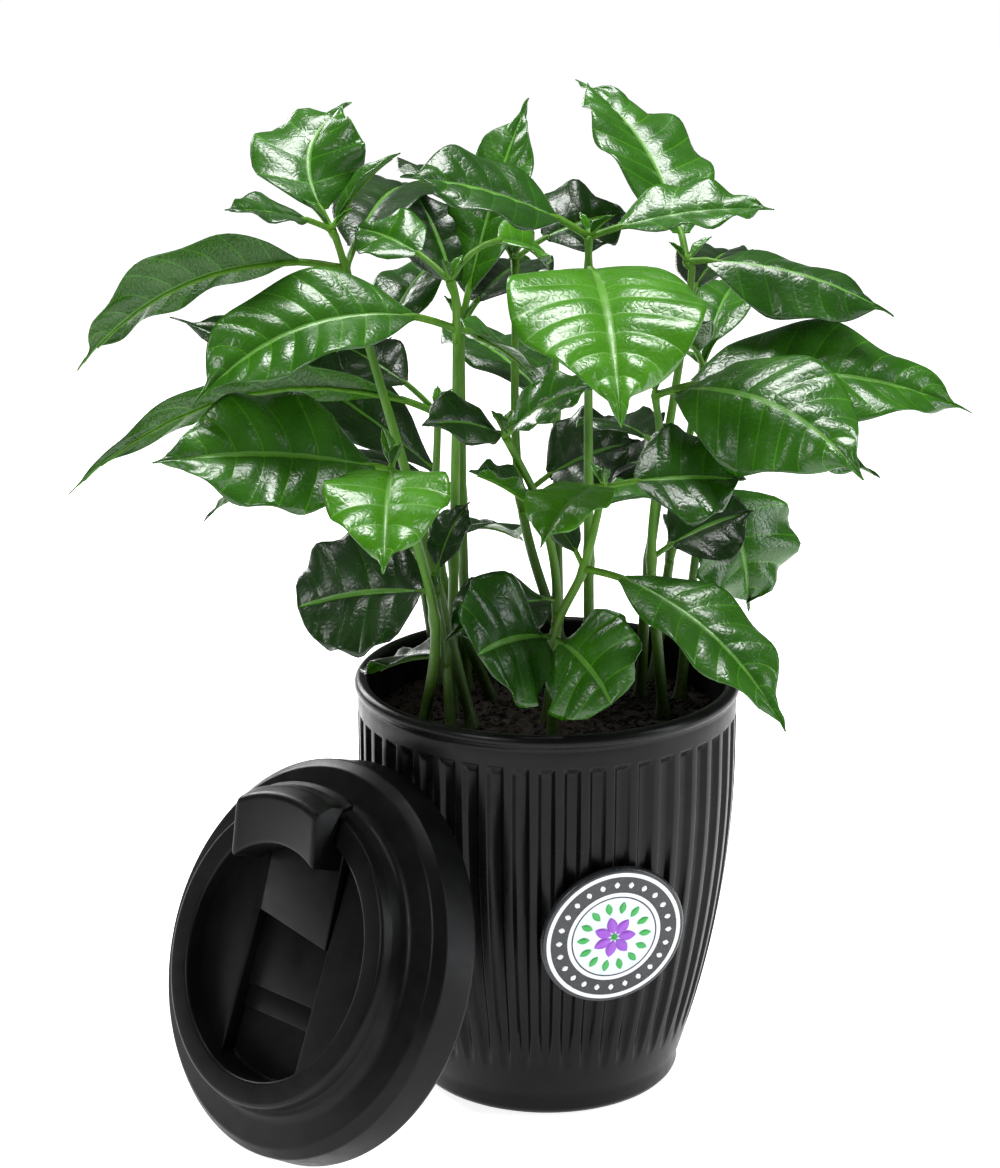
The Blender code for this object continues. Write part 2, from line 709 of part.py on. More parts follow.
def drop_slivers(mesh):
    """Dissolves the thinnest faces, as far as the surface stays closed."""
    for width in SLIVERS:
        shape = bmesh.new()
        shape.from_mesh(mesh)
        bmesh.ops.dissolve_degenerate(shape, dist=width * MM, edges=shape.edges)
        bmesh.ops.triangulate(shape, faces=shape.faces)
        closed = all(len(edge.link_faces) == 2 for edge in shape.edges)
        if closed:
            shape.to_mesh(mesh)
        shape.free()
        if closed:
            return


def rear_seedling(back):
    """Stem path and leaf pairs of a rear seedling. Each pair stands a quarter turn from the last."""
    draw = random.Random(back.seed)
    root = Vector((*back.root, SOIL_TOP))
    top = Vector(back.top)
    belly = Vector((0, 0, 0.08 * (top.z - root.z)))
    path = [tuple(root)]
    leaves = []
    for i, share in enumerate(BACK_JOINTS):
        joint = root.lerp(top, share) + belly * math.sin(math.pi * share)
        path.append(tuple(joint))
        for half_turn in (0, 180):
            bearing = back.first + 90 * i + half_turn + draw.uniform(-14, 14)
            reach = BACK_REACH[i] * draw.uniform(0.9, 1.1)
            rise = BACK_RISE[i] + draw.uniform(-8, 8)
            droop = draw.uniform(35, 65)
            leaves.append(Leaf(i + 1, bearing, rise, reach, BACK_WIDTH * reach, droop))
    return Seedling(tuple(path), tuple(leaves))


def in_space(points):
    """Whether a rear leaf keeps to the space behind and beside the crown."""
    return all(
        abs(p[0]) < SPACE_HALF_WIDTH and p[1] < SPACE_BACK and POT_CLEAR < p[2] < SPACE_TOP
        for p in points
    )


def make_plant(stem_material, leaf_material):
    seedlings = dict(SEEDLINGS)
    seedlings.update((name, rear_seedling(back)) for name, back in BACK_SEEDLINGS.items())
    paths = {name: smooth_path(plan.path) for name, plan in seedlings.items()}
    stems, shoots, kept = {}, {}, {}
    for name, plan in seedlings.items():
        path, top = paths[name], plan.path[-1][2]
        lowest = min(plan.path[leaf.joint][2] for leaf in plan.leaves) - SHOOT_START
        cut = soil_height(path[0]) + GAP
        for kind, low, high, found in (
            ("stem", cut, lowest - 2 * GAP, stems),
            ("foliage", lowest, top, shoots),
        ):
            points = clipped(path, low, high)
            if kind == "stem":
                points.insert(1, points[0] + Vector((0, 0, CUT_HEIGHT)))
            if kind == "foliage":
                points.append(points[-1] + (points[-1] - points[-2]).normalized() * BUD_HEIGHT)
            radii = [stem_radius(p.z, top) for p in points]
            if kind == "foliage":
                radii[-1] *= BUD_SHARE
            material = stem_material if kind == "stem" else leaf_material
            found[name] = rod(f"{kind}_{name}", points, radii, material)
    limbs = {name: (object_tree(stems[name]), object_tree(shoots[name])) for name in seedlings}
    for name, plan in seedlings.items():
        kept[name] = []
        for leaf in plan.leaves:
            base = plan.path[leaf.joint]
            if name in BACK_SEEDLINGS and not has_room(name, leaf, base, limbs, kept):
                continue
            kept[name].append(leaf_shape(leaf, base))
    for name in seedlings:
        make_mass(name, shoots[name], kept[name])
        print(name, len(kept[name]), "leaves")


def has_room(name, leaf, base, limbs, kept):
    """Whether a rear leaf stays in its space and clear of every limb and leaf but its own."""
    points, faces = leaf_shape(leaf, base, GAP)
    if not in_space(points[8:]):
        return False
    tree = tree_of(points, faces)
    for other in limbs:
        if other == name:
            continue
        if any(tree.overlap(limb) for limb in limbs[other]):
            return False
        if any(tree.overlap(tree_of(*shape)) for shape in kept.get(other, ())):
            return False
    return True


def main():
    clear_scene()
    make_pot(make_material("Pot plastic", (0.012, 0.012, 0.013), 0.42))
    make_soil(make_material("Soil", (0.035, 0.022, 0.014), 0.95))
    make_badge(make_material("Badge", (0.75, 0.78, 0.82), 0.35))
    lid = (
        make_lid_shell(make_material("Lid plastic", (0.014, 0.014, 0.015), 0.5)),
        make_lid_flap(make_material("Flap plastic", (0.012, 0.012, 0.013), 0.45)),
    )
    for piece in lid:
        piece.data.transform(lid_matrix())
    make_plant(
        make_material("Stem", (0.10, 0.20, 0.04), 0.6),
        make_material("Leaf", (0.03, 0.12, 0.015), 0.3),
    )


main()
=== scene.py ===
# %% [markdown]
# # A potted coffee plant
# A clump of young coffee seedlings fills a black, fluted pot that is shaped like a takeaway cup.
# The cup's sip lid leans against it. The solids of the plant are already packed as a frame with
# real sizes, so this lesson dresses them: each step says what a piece is, how it could be made,
# and why it is made the way it is. Everything is in metres, with +Z up and -Y at the front.

# %% Frame and imports
import math
import random
from typing import NamedTuple

import bmesh
import bpy
import numpy as np
from mathutils import Matrix, Vector
from mathutils.bvhtree import BVHTree


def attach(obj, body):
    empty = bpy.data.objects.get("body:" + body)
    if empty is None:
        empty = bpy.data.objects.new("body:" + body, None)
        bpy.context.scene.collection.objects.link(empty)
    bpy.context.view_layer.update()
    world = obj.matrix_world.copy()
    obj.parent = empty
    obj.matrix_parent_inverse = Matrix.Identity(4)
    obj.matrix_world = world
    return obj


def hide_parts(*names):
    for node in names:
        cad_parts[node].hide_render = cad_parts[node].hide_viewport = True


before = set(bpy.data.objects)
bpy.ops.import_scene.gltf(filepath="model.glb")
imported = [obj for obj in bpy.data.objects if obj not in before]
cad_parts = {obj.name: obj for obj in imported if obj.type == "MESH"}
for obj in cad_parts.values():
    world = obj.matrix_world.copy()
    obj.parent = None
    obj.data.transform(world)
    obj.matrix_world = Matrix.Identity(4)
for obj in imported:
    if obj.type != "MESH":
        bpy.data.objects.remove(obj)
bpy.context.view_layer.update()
MM = 0.001
BODY = "root"

# %% [markdown]
# ## Camera
# A long lens flattens the plant the way a product shot does. The camera stands 0.9 m in front, a
# little above the crown, and tilts down. The vertical side is the long one, so the sensor is
# fitted to it.

# %% Camera
CAMERA_PLACE = (0.0, -0.900, 0.441)
CAMERA_PITCH = 73.06  # degrees up from straight down
CAMERA_YAW = 0.017  # radians
LENS = 90.2
camera_data = bpy.data.cameras.new("Camera")
camera_data.sensor_fit = "VERTICAL"
camera_data.sensor_height = 36.0
camera_data.lens = LENS
camera_data.clip_start = 0.01
camera = bpy.data.objects.new("Camera", camera_data)
camera.location = CAMERA_PLACE
camera.rotation_euler = (math.radians(CAMERA_PITCH), 0, CAMERA_YAW)
bpy.context.scene.collection.objects.link(camera)
bpy.context.scene.camera = camera
print("camera", CAMERA_PLACE, "lens", LENS)

# %% [markdown]
# ## Stage and light
# Glossy leaves show their shape by what they reflect, so the light comes from large soft panels:
# one overhead, one at the front left and one low at the right. A bright world fills the shadows,
# and a pale floor carries a faint shadow.


# %% Stage and light
def area_light(name, place, target, size, power, colour=(1, 1, 1)):
    data = bpy.data.lights.new(name, "AREA")
    data.shape = "RECTANGLE"
    data.size, data.size_y = size
    data.energy = power
    data.color = colour
    light = bpy.data.objects.new(name, data)
    light.location = place
    aim = Vector(target) - Vector(place)
    light.rotation_euler = aim.to_track_quat("-Z", "Y").to_euler()
    bpy.context.scene.collection.objects.link(light)
    return light


world = bpy.data.worlds.new("Studio")
world.use_nodes = True
world.node_tree.nodes["Background"].inputs["Color"].default_value = (1.0, 1.0, 1.0, 1.0)
world.node_tree.nodes["Background"].inputs["Strength"].default_value = 0.12
bpy.context.scene.world = world
bpy.context.scene.view_settings.view_transform = "Standard"

area_light("Overhead", (0.05, 0.10, 1.10), (0, 0, 0.2), (0.50, 0.36), 14)
area_light("Front_left", (-0.70, -0.80, 0.85), (0, 0, 0.17), (0.30, 0.42), 5.5)
area_light("Right", (0.95, -0.25, 0.45), (0, 0, 0.15), (0.15, 0.9), 4.5, (0.94, 0.97, 1.0))
area_light("Back_left", (-0.6, 0.75, 0.55), (0, 0, 0.15), (0.4, 0.5), 8)

floor_mesh = bpy.data.meshes.new("floor")
floor_mesh.from_pydata([(-60, -60, 0), (60, -60, 0), (60, 60, 0), (-60, 60, 0)], [], [(0, 1, 2, 3)])
floor = bpy.data.objects.new("floor", floor_mesh)
bpy.context.scene.collection.objects.link(floor)
floor_paint = bpy.data.materials.new("floor_paint")
floor_paint.use_nodes = True
floor_shader = floor_paint.node_tree.nodes["Principled BSDF"]
floor_shader.inputs["Base Color"].default_value = (0.92, 0.92, 0.92, 1)
floor_shader.inputs["Roughness"].default_value = 0.9
floor_shader.inputs["Emission Color"].default_value = (1, 1, 1, 1)
floor_shader.inputs["Emission Strength"].default_value = 0.88
floor_mesh.materials.append(floor_paint)
print("stage: one floor, four panels")

# %% [markdown]
# ## Finishes
# Nothing real has one flat colour. Each finish here starts as a wander between two tones, read
# from the object's own coordinates, with a finer noise that moves the roughness and lifts a small
# bump. One function builds the node tree, and every finish names its own sizes in millimetres.


# %% Finish builder
class Tree:
    """A few words for building a material's nodes."""

    def __init__(self, name):
        self.material = bpy.data.materials.new(name)
        self.material.use_nodes = True
        self.nodes = self.material.node_tree.nodes
        self.links = self.material.node_tree.links
        self.shader = self.nodes["Principled BSDF"]
        self.place = self.nodes.new("ShaderNodeTexCoord").outputs["Object"]

    def noise(self, size_mm, detail=4.0, stretch=(1, 1, 1)):
        mapping = self.nodes.new("ShaderNodeMapping")
        mapping.inputs["Scale"].default_value = stretch
        self.links.new(self.place, mapping.inputs["Vector"])
        node = self.nodes.new("ShaderNodeTexNoise")
        node.inputs["Scale"].default_value = 1 / (size_mm * MM)
        node.inputs["Detail"].default_value = detail
        self.links.new(mapping.outputs["Vector"], node.inputs["Vector"])
        return node.outputs["Fac"]

    def cells(self, size_mm, feature="DISTANCE_TO_EDGE"):
        node = self.nodes.new("ShaderNodeTexVoronoi")
        node.feature = feature
        node.inputs["Scale"].default_value = 1 / (size_mm * MM)
        self.links.new(self.place, node.inputs["Vector"])
        return node.outputs["Distance"]

    def spread(self, value, low, high, start=0.3, end=0.7):
        """Maps a value between start and end to low and high."""
        node = self.nodes.new("ShaderNodeMapRange")
        node.inputs["From Min"].default_value = start
        node.inputs["From Max"].default_value = end
        node.inputs["To Min"].default_value = low
        node.inputs["To Max"].default_value = high
        self.links.new(value, node.inputs["Value"])
        return node.outputs["Result"]

    def tones(self, value, first, second, start=0.35, end=0.65):
        ramp = self.nodes.new("ShaderNodeValToRGB")
        ramp.color_ramp.elements[0].position = start
        ramp.color_ramp.elements[0].color = (*first, 1)
        ramp.color_ramp.elements[1].position = end
        ramp.color_ramp.elements[1].color = (*second, 1)
        self.links.new(value, ramp.inputs["Fac"])
        return ramp.outputs["Color"]

    def mix(self, factor, first, second):
        node = self.nodes.new("ShaderNodeMix")
        node.data_type = "RGBA"
        self.links.new(factor, node.inputs["Factor"])
        colours = [s for s in node.inputs if s.type == "RGBA"]
        for socket, colour in zip(colours, (first, second)):
            if isinstance(colour, tuple):
                socket.default_value = (*colour, 1)
            else:
                self.links.new(colour, socket)
        return [s for s in node.outputs if s.type == "RGBA"][0]

    def height(self):
        split = self.nodes.new("ShaderNodeSeparateXYZ")
        self.links.new(self.place, split.inputs["Vector"])
        return split.outputs["Z"]

    def bump(self, value, depth_mm, previous=None):
        node = self.nodes.new("ShaderNodeBump")
        node.inputs["Strength"].default_value = 1.0
        node.inputs["Distance"].default_value = depth_mm * MM
        self.links.new(value, node.inputs["Height"])
        if previous:
            self.links.new(previous, node.inputs["Normal"])
        return node.outputs["Normal"]

    def wire(self, colour=None, roughness=None, normal=None, **fixed):
        for name, value in (("Base Color", colour), ("Roughness", roughness), ("Normal", normal)):
            if isinstance(value, float):
                self.shader.inputs[name].default_value = value
            elif value is not None:
                self.links.new(value, self.shader.inputs[name])
        for name, value in fixed.items():
            self.shader.inputs[name.replace("_", " ").title().replace("Ior", "IOR")].default_value = value
        return self.material


def plastic(name, dark, light, rough, grain_mm=0.35, depth_mm=0.012, shine=0.2):
    """Moulded plastic: mottled gloss, a fine moulded grain and a little pale dust."""
    tree = Tree(name)
    colour = tree.tones(tree.noise(14), dark, light)
    gloss = tree.spread(tree.noise(5, 6), rough[0], rough[1])
    grain = tree.bump(tree.noise(grain_mm, 2), depth_mm)
    return tree.wire(colour, gloss, tree.bump(tree.noise(6, 2), 0.05, grain), specular_ior_level=shine)


def green(name, dark, light, rough, vein_mm=2.2, depth_mm=0.05):
    """Leaf skin: two greens that wander, fine net veins as cells, and a waxy shine."""
    tree = Tree(name)
    colour = tree.tones(tree.noise(16, 5), dark, light)
    gloss = tree.spread(tree.noise(7, 4), rough[0], rough[1])
    net = tree.spread(tree.cells(vein_mm), 0, 1, 0.0, 0.25)
    normal = tree.bump(net, depth_mm, tree.bump(tree.noise(5, 3), 0.12))
    return tree.wire(colour, gloss, normal)


POT_TONES = (0.0022, 0.0022, 0.0024), (0.0042, 0.0042, 0.0046)
RIM_TONES = (0.002, 0.002, 0.0022), (0.0035, 0.0035, 0.0038)
LID_TONES = (0.0024, 0.0024, 0.0026), (0.0045, 0.0045, 0.0048)
pot_black = plastic("pot_black", *POT_TONES, (0.26, 0.36), shine=0.16)
rim_black = plastic("rim_black", *RIM_TONES, (0.08, 0.15), 1.5, 0.004, 0.55)
lid_black = plastic("lid_black", *LID_TONES, (0.30, 0.42), 0.3, 0.016, 0.13)
leaf_deep = green("leaf_deep", (0.007, 0.042, 0.001), (0.014, 0.070, 0.002), (0.22, 0.36))
leaf_mid = green("leaf_mid", (0.013, 0.072, 0.001), (0.024, 0.110, 0.003), (0.22, 0.36))
leaf_young = green("leaf_young", (0.030, 0.135, 0.001), (0.048, 0.185, 0.004), (0.22, 0.35))
# A near-black green for leaves inside, under and behind the crown: painted shade, not the leaf's own
# colour.
leaf_painted_shade = green("leaf_painted_shade", (0.003, 0.020, 0.0005), (0.007, 0.036, 0.001), (0.26, 0.40))
leaf_under = green("leaf_under", (0.016, 0.078, 0.002), (0.032, 0.118, 0.006), (0.26, 0.42), 1.6, 0.08)
leaf_vein = green("leaf_vein", (0.060, 0.190, 0.012), (0.090, 0.250, 0.025), (0.32, 0.45), 1.0, 0.02)
print("finishes:", len(bpy.data.materials))

# %% [markdown]
# ## Making meshes
# Three ways of making shapes cover the whole pot: a profile that is spun about an axis, a flat
# outline that is given height, and a small Geometry Nodes tree that repeats a slice around the
# axis. Each result is turned into a plain mesh of real faces.


# %% Mesh helpers
def show(name, mesh, materials, replaced=(), smooth=True):
    """A finished piece: it rides on the one body and hides the solids that it stands for."""
    mesh.name = name
    piece = bpy.data.objects.new(name, mesh)
    bpy.context.scene.collection.objects.link(piece)
    for material in materials:
        if material.name not in mesh.materials:
            mesh.materials.append(material)
    if smooth:
        mesh.polygons.foreach_set("use_smooth", [True] * len(mesh.polygons))
    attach(piece, BODY)
    if replaced:
        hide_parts(*replaced)
    print(name, len(mesh.polygons), "faces")
    return piece


def mesh_from(points, faces, name="mesh"):
    """A mesh from points in millimetres."""
    mesh = bpy.data.meshes.new(name)
    mesh.from_pydata([tuple(c * MM for c in p) for p in points], [], [tuple(f) for f in faces])
    return mesh


def tidied(mesh, within=0.00001):
    """Merges doubled points and turns the faces outwards."""
    shape = bmesh.new()
    shape.from_mesh(mesh)
    bmesh.ops.remove_doubles(shape, verts=shape.verts, dist=within)
    bmesh.ops.recalc_face_normals(shape, faces=shape.faces)
    if shape.calc_volume(signed=True) < 0:
        bmesh.ops.reverse_faces(shape, faces=shape.faces)
    shape.to_mesh(mesh)
    shape.free()
    return mesh


def plain(obj):
    """The object's evaluated mesh, with the object and its modifiers gone."""
    graph = bpy.context.evaluated_depsgraph_get()
    mesh = bpy.data.meshes.new_from_object(obj.evaluated_get(graph))
    bpy.data.objects.remove(obj, do_unlink=True)
    return mesh


def worked(mesh, *modifiers):
    """The mesh after a list of modifiers, each given as a type and its settings."""
    obj = bpy.data.objects.new("work", mesh)
    bpy.context.scene.collection.objects.link(obj)
    for kind, settings in modifiers:
        modifier = obj.modifiers.new(kind.title(), kind)
        for key, value in settings.items():
            setattr(modifier, key, value)
    return plain(obj)


def spun(profile, steps, turn=360.0):
    """A profile of (radius, height) in millimetres, turned about Z. Closed at the axis."""
    points, faces = [], []
    whole = turn >= 360
    columns = steps if whole else steps + 1
    for i in range(columns):
        angle = math.radians(turn * i / steps - (0 if whole else turn / 2) - 90)
        points += [(r * math.cos(angle), r * math.sin(angle), z) for r, z in profile]
    count = len(profile)
    for i in range(steps):
        j = (i + 1) % columns
        for k in range(count - 1):
            faces.append((i * count + k, j * count + k, j * count + k + 1, i * count + k + 1))
    return tidied(mesh_from(points, faces))


def curved(corners, radius, steps=4):
    """A polyline of (r, z) with each inner corner rounded to a radius. A third value overrides it."""
    found = [tuple(corners[0][:2])]
    for before, corner, after in zip(corners, corners[1:], corners[2:]):
        here = Vector(corner[:2])
        to_before, to_after = Vector(before[:2]) - here, Vector(after[:2]) - here
        size = corner[2] if len(corner) > 2 else radius
        angle = to_before.angle(to_after)
        cut = min(size / math.tan(angle / 2), to_before.length * 0.45, to_after.length * 0.45)
        first, last = here + to_before.normalized() * cut, here + to_after.normalized() * cut
        for i in range(steps + 1):
            t = i / steps
            found.append(tuple((1 - t) ** 2 * first + 2 * t * (1 - t) * here + t * t * last))
    found.append(tuple(corners[-1][:2]))
    return found


def slab(outline, low, high, edge, segments=3):
    """A flat outline of (x, y) given height, with its upper edges rounded."""
    count = len(outline)
    points = [(x, y, low) for x, y in outline] + [(x, y, high) for x, y in outline]
    faces = [tuple(range(count)), tuple(range(count, 2 * count))]
    faces += [(i, (i + 1) % count, count + (i + 1) % count, count + i) for i in range(count)]
    mesh = tidied(mesh_from(points, faces))
    bevel = {"width": edge * MM, "segments": segments, "limit_method": "ANGLE"}
    return worked(mesh, ("BEVEL", bevel))


def joined(meshes):
    """Several meshes as one, each keeping its own materials."""
    points, faces, slots, names = [], [], [], []
    for mesh in meshes:
        start = len(points)
        points += [v.co.copy() for v in mesh.vertices]
        local = []
        for material in mesh.materials:
            if material not in names:
                names.append(material)
            local.append(names.index(material))
        for face in mesh.polygons:
            faces.append([start + i for i in face.vertices])
            slots.append(local[face.material_index] if local else 0)
    made = bpy.data.meshes.new("joined")
    made.from_pydata(points, [], faces)
    for material in names:
        made.materials.append(material)
    made.polygons.foreach_set("material_index", slots)
    return made


# %% [markdown]
# ## Geometry Nodes: a slice around an axis
# The pot has 48 equal flutes and the badge has rings of equal petals. Modelling one and letting a
# node tree turn copies of it about Z keeps them equal, and a changed count is one number. The
# tree ends with Realize Instances and Set Material, so that it gives real faces with their finish.


# %% Ring tree
def ring_tree():
    tree = bpy.data.node_groups.new("ring_of_slices", "GeometryNodeTree")
    face = tree.interface
    face.new_socket("Slice", in_out="INPUT", socket_type="NodeSocketObject")
    face.new_socket("Count", in_out="INPUT", socket_type="NodeSocketInt")
    face.new_socket("Merge", in_out="INPUT", socket_type="NodeSocketFloat")
    face.new_socket("Finish", in_out="INPUT", socket_type="NodeSocketMaterial")
    face.new_socket("Geometry", in_out="OUTPUT", socket_type="NodeSocketGeometry")
    nodes, link = tree.nodes, tree.links.new
    given = nodes.new("NodeGroupInput")
    line = nodes.new("GeometryNodeMeshLine")
    line.inputs["Offset"].default_value = (0, 0, 0)
    link(given.outputs["Count"], line.inputs["Count"])
    slice_info = nodes.new("GeometryNodeObjectInfo")
    link(given.outputs["Slice"], slice_info.inputs["Object"])
    index = nodes.new("GeometryNodeInputIndex")
    share = nodes.new("ShaderNodeMath")
    share.operation = "DIVIDE"
    link(index.outputs["Index"], share.inputs[0])
    link(given.outputs["Count"], share.inputs[1])
    turn = nodes.new("ShaderNodeMath")
    turn.operation = "MULTIPLY"
    turn.inputs[1].default_value = 2 * math.pi
    link(share.outputs[0], turn.inputs[0])
    angles = nodes.new("ShaderNodeCombineXYZ")
    link(turn.outputs[0], angles.inputs["Z"])
    copies = nodes.new("GeometryNodeInstanceOnPoints")
    link(line.outputs["Mesh"], copies.inputs["Points"])
    link(slice_info.outputs["Geometry"], copies.inputs["Instance"])
    link(angles.outputs["Vector"], copies.inputs["Rotation"])
    real = nodes.new("GeometryNodeRealizeInstances")
    link(copies.outputs["Instances"], real.inputs["Geometry"])
    merge = nodes.new("GeometryNodeMergeByDistance")
    link(real.outputs["Geometry"], merge.inputs["Geometry"])
    link(given.outputs["Merge"], merge.inputs["Distance"])
    paint = nodes.new("GeometryNodeSetMaterial")
    link(merge.outputs["Geometry"], paint.inputs["Geometry"])
    link(given.outputs["Finish"], paint.inputs["Material"])
    out = nodes.new("NodeGroupOutput")
    link(paint.outputs["Geometry"], out.inputs["Geometry"])
    return tree


RING_TREE = ring_tree()


def run_tree(tree, base, inputs):
    """Runs a tree as a modifier on a mesh and gives the plain mesh that it makes."""
    host = bpy.data.objects.new("host", base)
    bpy.context.scene.collection.objects.link(host)
    modifier = host.modifiers.new("Nodes", "NODES")
    modifier.node_group = tree
    for item in tree.interface.items_tree:
        if item.in_out == "INPUT" and item.name in inputs:
            modifier[item.identifier] = inputs[item.name]
    return plain(host)


def ring_of(slice_mesh, count, material, merge_mm=0.01):
    """Copies of a slice about Z, as one plain mesh."""
    part = bpy.data.objects.new("slice", slice_mesh)
    bpy.context.scene.collection.objects.link(part)
    inputs = {"Slice": part, "Count": count, "Merge": merge_mm * MM, "Finish": material}
    mesh = run_tree(RING_TREE, bpy.data.meshes.new("host"), inputs)
    bpy.data.objects.remove(part, do_unlink=True)
    return mesh


print("ring tree:", len(RING_TREE.nodes), "nodes")

# %% [markdown]
# ## Pot
# A moulded cup: 48 flutes with flat floors and flat ribs, a plain band above them and a glossy
# rolled rim. A flute is a groove cut by one tool, so its floor stays level while its mouth narrows
# to a point near the foot, and its top runs out in a short sloped facet. One slice of wall is made
# by that rule, and the ring tree repeats it.

# %% Pot
POT_HEIGHT = 137.0
BELLY_RADIUS, BELLY_Z, BARREL_RADIUS = 61.5, 112.0, 333.0
FOOT_RADIUS, FOOT_ROUND = 40.3, 4.0
RIM_RADIUS, RIM_ROLL = 62.5, 2.3
FLUTES, FLUTE_DEPTH = 48, 1.7
FLUTE_TOP, FLUTE_FACET = 126.4, 2.6
FLUTE_FOOT, FLUTE_FADE = 10.0, 22.0
MOUTH = 0.68  # of the pitch, at the wall
SLOPE = 0.15  # of the pitch, from the mouth's edge to the floor
COLUMNS = (-0.5, -0.375, -0.335, -0.305, -0.2, -0.17, 0.17, 0.2, 0.305, 0.335, 0.375, 0.5)


def wall_radius(z):
    fall = max(0.0, BELLY_Z - z)
    return BELLY_RADIUS - (BARREL_RADIUS - math.sqrt(BARREL_RADIUS**2 - fall**2))


def flute_cut(across, z):
    """How far the wall is cut in, at a share of the pitch from the flute's middle and a height."""
    if not FLUTE_FOOT < z < FLUTE_TOP:
        return 0.0
    grown = min(1.0, (z - FLUTE_FOOT) / FLUTE_FADE) ** 0.8
    side = (MOUTH / 2 * grown - abs(across)) / SLOPE
    facet = (FLUTE_TOP - z) / FLUTE_FACET
    return FLUTE_DEPTH * max(0.0, min(1.0, side, facet))


def pot_rows():
    """The pot's profile from the middle of its underside, up the wall, over the rim and down."""
    rows = [(0.0, 0.0), (30.0, 0.0)]
    for i in range(5):
        angle = math.radians(-90 + 75 * i / 4)
        radius = FOOT_RADIUS + FOOT_ROUND * math.cos(angle)
        rows.append((radius, FOOT_ROUND + FOOT_ROUND * math.sin(angle)))
    heights = [6, 9, 12, 13, 14.5, 16, 18, 20, 23, 26, 30, 34, 38, 42, 47, 53, 60, 67, 74, 81, 88, 95]
    heights += [101, 106, 110, 114, 117, 120, 122]
    heights += [123.2, 123.8, 124.5, 125.4, 126.1, 126.4, 126.8, 129, 131.5]
    rows += [(wall_radius(z), z) for z in heights]
    middle = (RIM_RADIUS - RIM_ROLL, POT_HEIGHT - RIM_ROLL)
    for i in range(13):
        angle = math.radians(-62 + 215 * i / 12)
        rows.append((middle[0] + RIM_ROLL * math.cos(angle), middle[1] + RIM_ROLL * math.sin(angle)))
    inner = [(57.9, 134.2), (57.7, 131), (56.9, 124), (55.6, 110), (53.5, 80), (48.5, 30), (41.8, 5.0)]
    return rows + inner + [(40.5, 3.2), (0.0, 3.0)]


POT_ROWS = pot_rows()
pitch = 2 * math.pi / FLUTES
slice_points, slice_faces = [], []
for across in COLUMNS:
    for r, z in POT_ROWS:
        outside = r > wall_radius(z) - 1.0 and z < FLUTE_TOP
        cut = r - (flute_cut(across, z) if outside else 0.0)
        angle = across * pitch
        slice_points.append((cut * math.cos(angle), cut * math.sin(angle), z))
for i in range(len(COLUMNS) - 1):
    for k in range(len(POT_ROWS) - 1):
        a, b = i * len(POT_ROWS) + k, (i + 1) * len(POT_ROWS) + k
        slice_faces.append((a, b, b + 1, a + 1))
pot_mesh = tidied(ring_of(mesh_from(slice_points, slice_faces), FLUTES, pot_black, 0.004), 0.000002)
pot_mesh.materials.append(rim_black)
for face in pot_mesh.polygons:
    radius = math.hypot(face.center.x, face.center.y) / MM
    if face.center.z > (POT_HEIGHT - 6.0) * MM or radius < wall_radius(face.center.z / MM) - 3:
        face.material_index = 1
show("pot_body", pot_mesh, (pot_black, rim_black), ("pot",))

# %% [markdown]
# ## Soil
# Moist peat is a rough dark heap with loose crumbs on it. Its near-black colour is the peat's own
# dark with painted shade added, as under the crown. The bed is a disc of rings moved by layers of
# noise, closed underneath, and the crumbs are small lumps that a second tree scatters over the bed:
# it spreads points on the surface, puts a lump at each, and turns and sizes every lump by a fixed seed.

# %% Soil bed
soil_tree = Tree("peat_and_painted_shade")
# Near-black peat: the peat's own dark, darkened further as painted shade under the crown.
peat_tone_and_painted_shade = soil_tree.tones(soil_tree.noise(2.5, 8), (0.002, 0.0015, 0.001), (0.012, 0.008, 0.005))
soil_bump = soil_tree.bump(soil_tree.noise(0.8, 6), 0.5)
peat_and_painted_shade = soil_tree.wire(peat_tone_and_painted_shade, 0.95, soil_bump, specular_ior_level=0.15)
SOIL_TOP, SOIL_HEAP, SOIL_RADIUS = 122.0, 1.6, 56.6


def soil_level(radius):
    """Height of the bed at a distance from the middle."""
    levels = SOIL_TOP + SOIL_HEAP * np.array((1, 0.8, 0.2, 0))
    return float(np.interp(radius, (0, 22, 42, SOIL_RADIUS), levels))


def ripple(x, y, seed=0.0):
    """A smooth repeatable unevenness, from -1 to 1."""
    wave = math.sin(0.31 * x + 1.7 * math.sin(0.23 * y + seed))
    wave += math.sin(0.47 * y - 1.3 * math.sin(0.19 * x - seed))
    fine = math.sin(1.1 * x + 2.1 * math.sin(0.9 * y)) * math.sin(1.3 * y - seed)
    return (wave + 0.7 * fine) / 2.7


BED_RINGS, BED_STEPS = 40, 96
bed_points, bed_faces = [(0, 0, soil_level(0))], []
for ring in range(1, BED_RINGS + 1):
    radius = SOIL_RADIUS * ring / BED_RINGS
    for step in range(BED_STEPS):
        angle = 2 * math.pi * step / BED_STEPS
        x, y = radius * math.cos(angle), radius * math.sin(angle)
        lift = 1.1 * ripple(x, y) + 0.4 * ripple(3 * x, 3 * y, 2.0) if ring < BED_RINGS else 0
        bed_points.append((x, y, soil_level(radius) - 0.3 + lift))
for step in range(BED_STEPS):
    bed_faces.append((0, 1 + step, 1 + (step + 1) % BED_STEPS))
for ring in range(BED_RINGS - 1):
    for step in range(BED_STEPS):
        a, b = 1 + ring * BED_STEPS + step, 1 + ring * BED_STEPS + (step + 1) % BED_STEPS
        bed_faces.append((a, a + BED_STEPS, b + BED_STEPS, b))
rim_start = 1 + (BED_RINGS - 1) * BED_STEPS
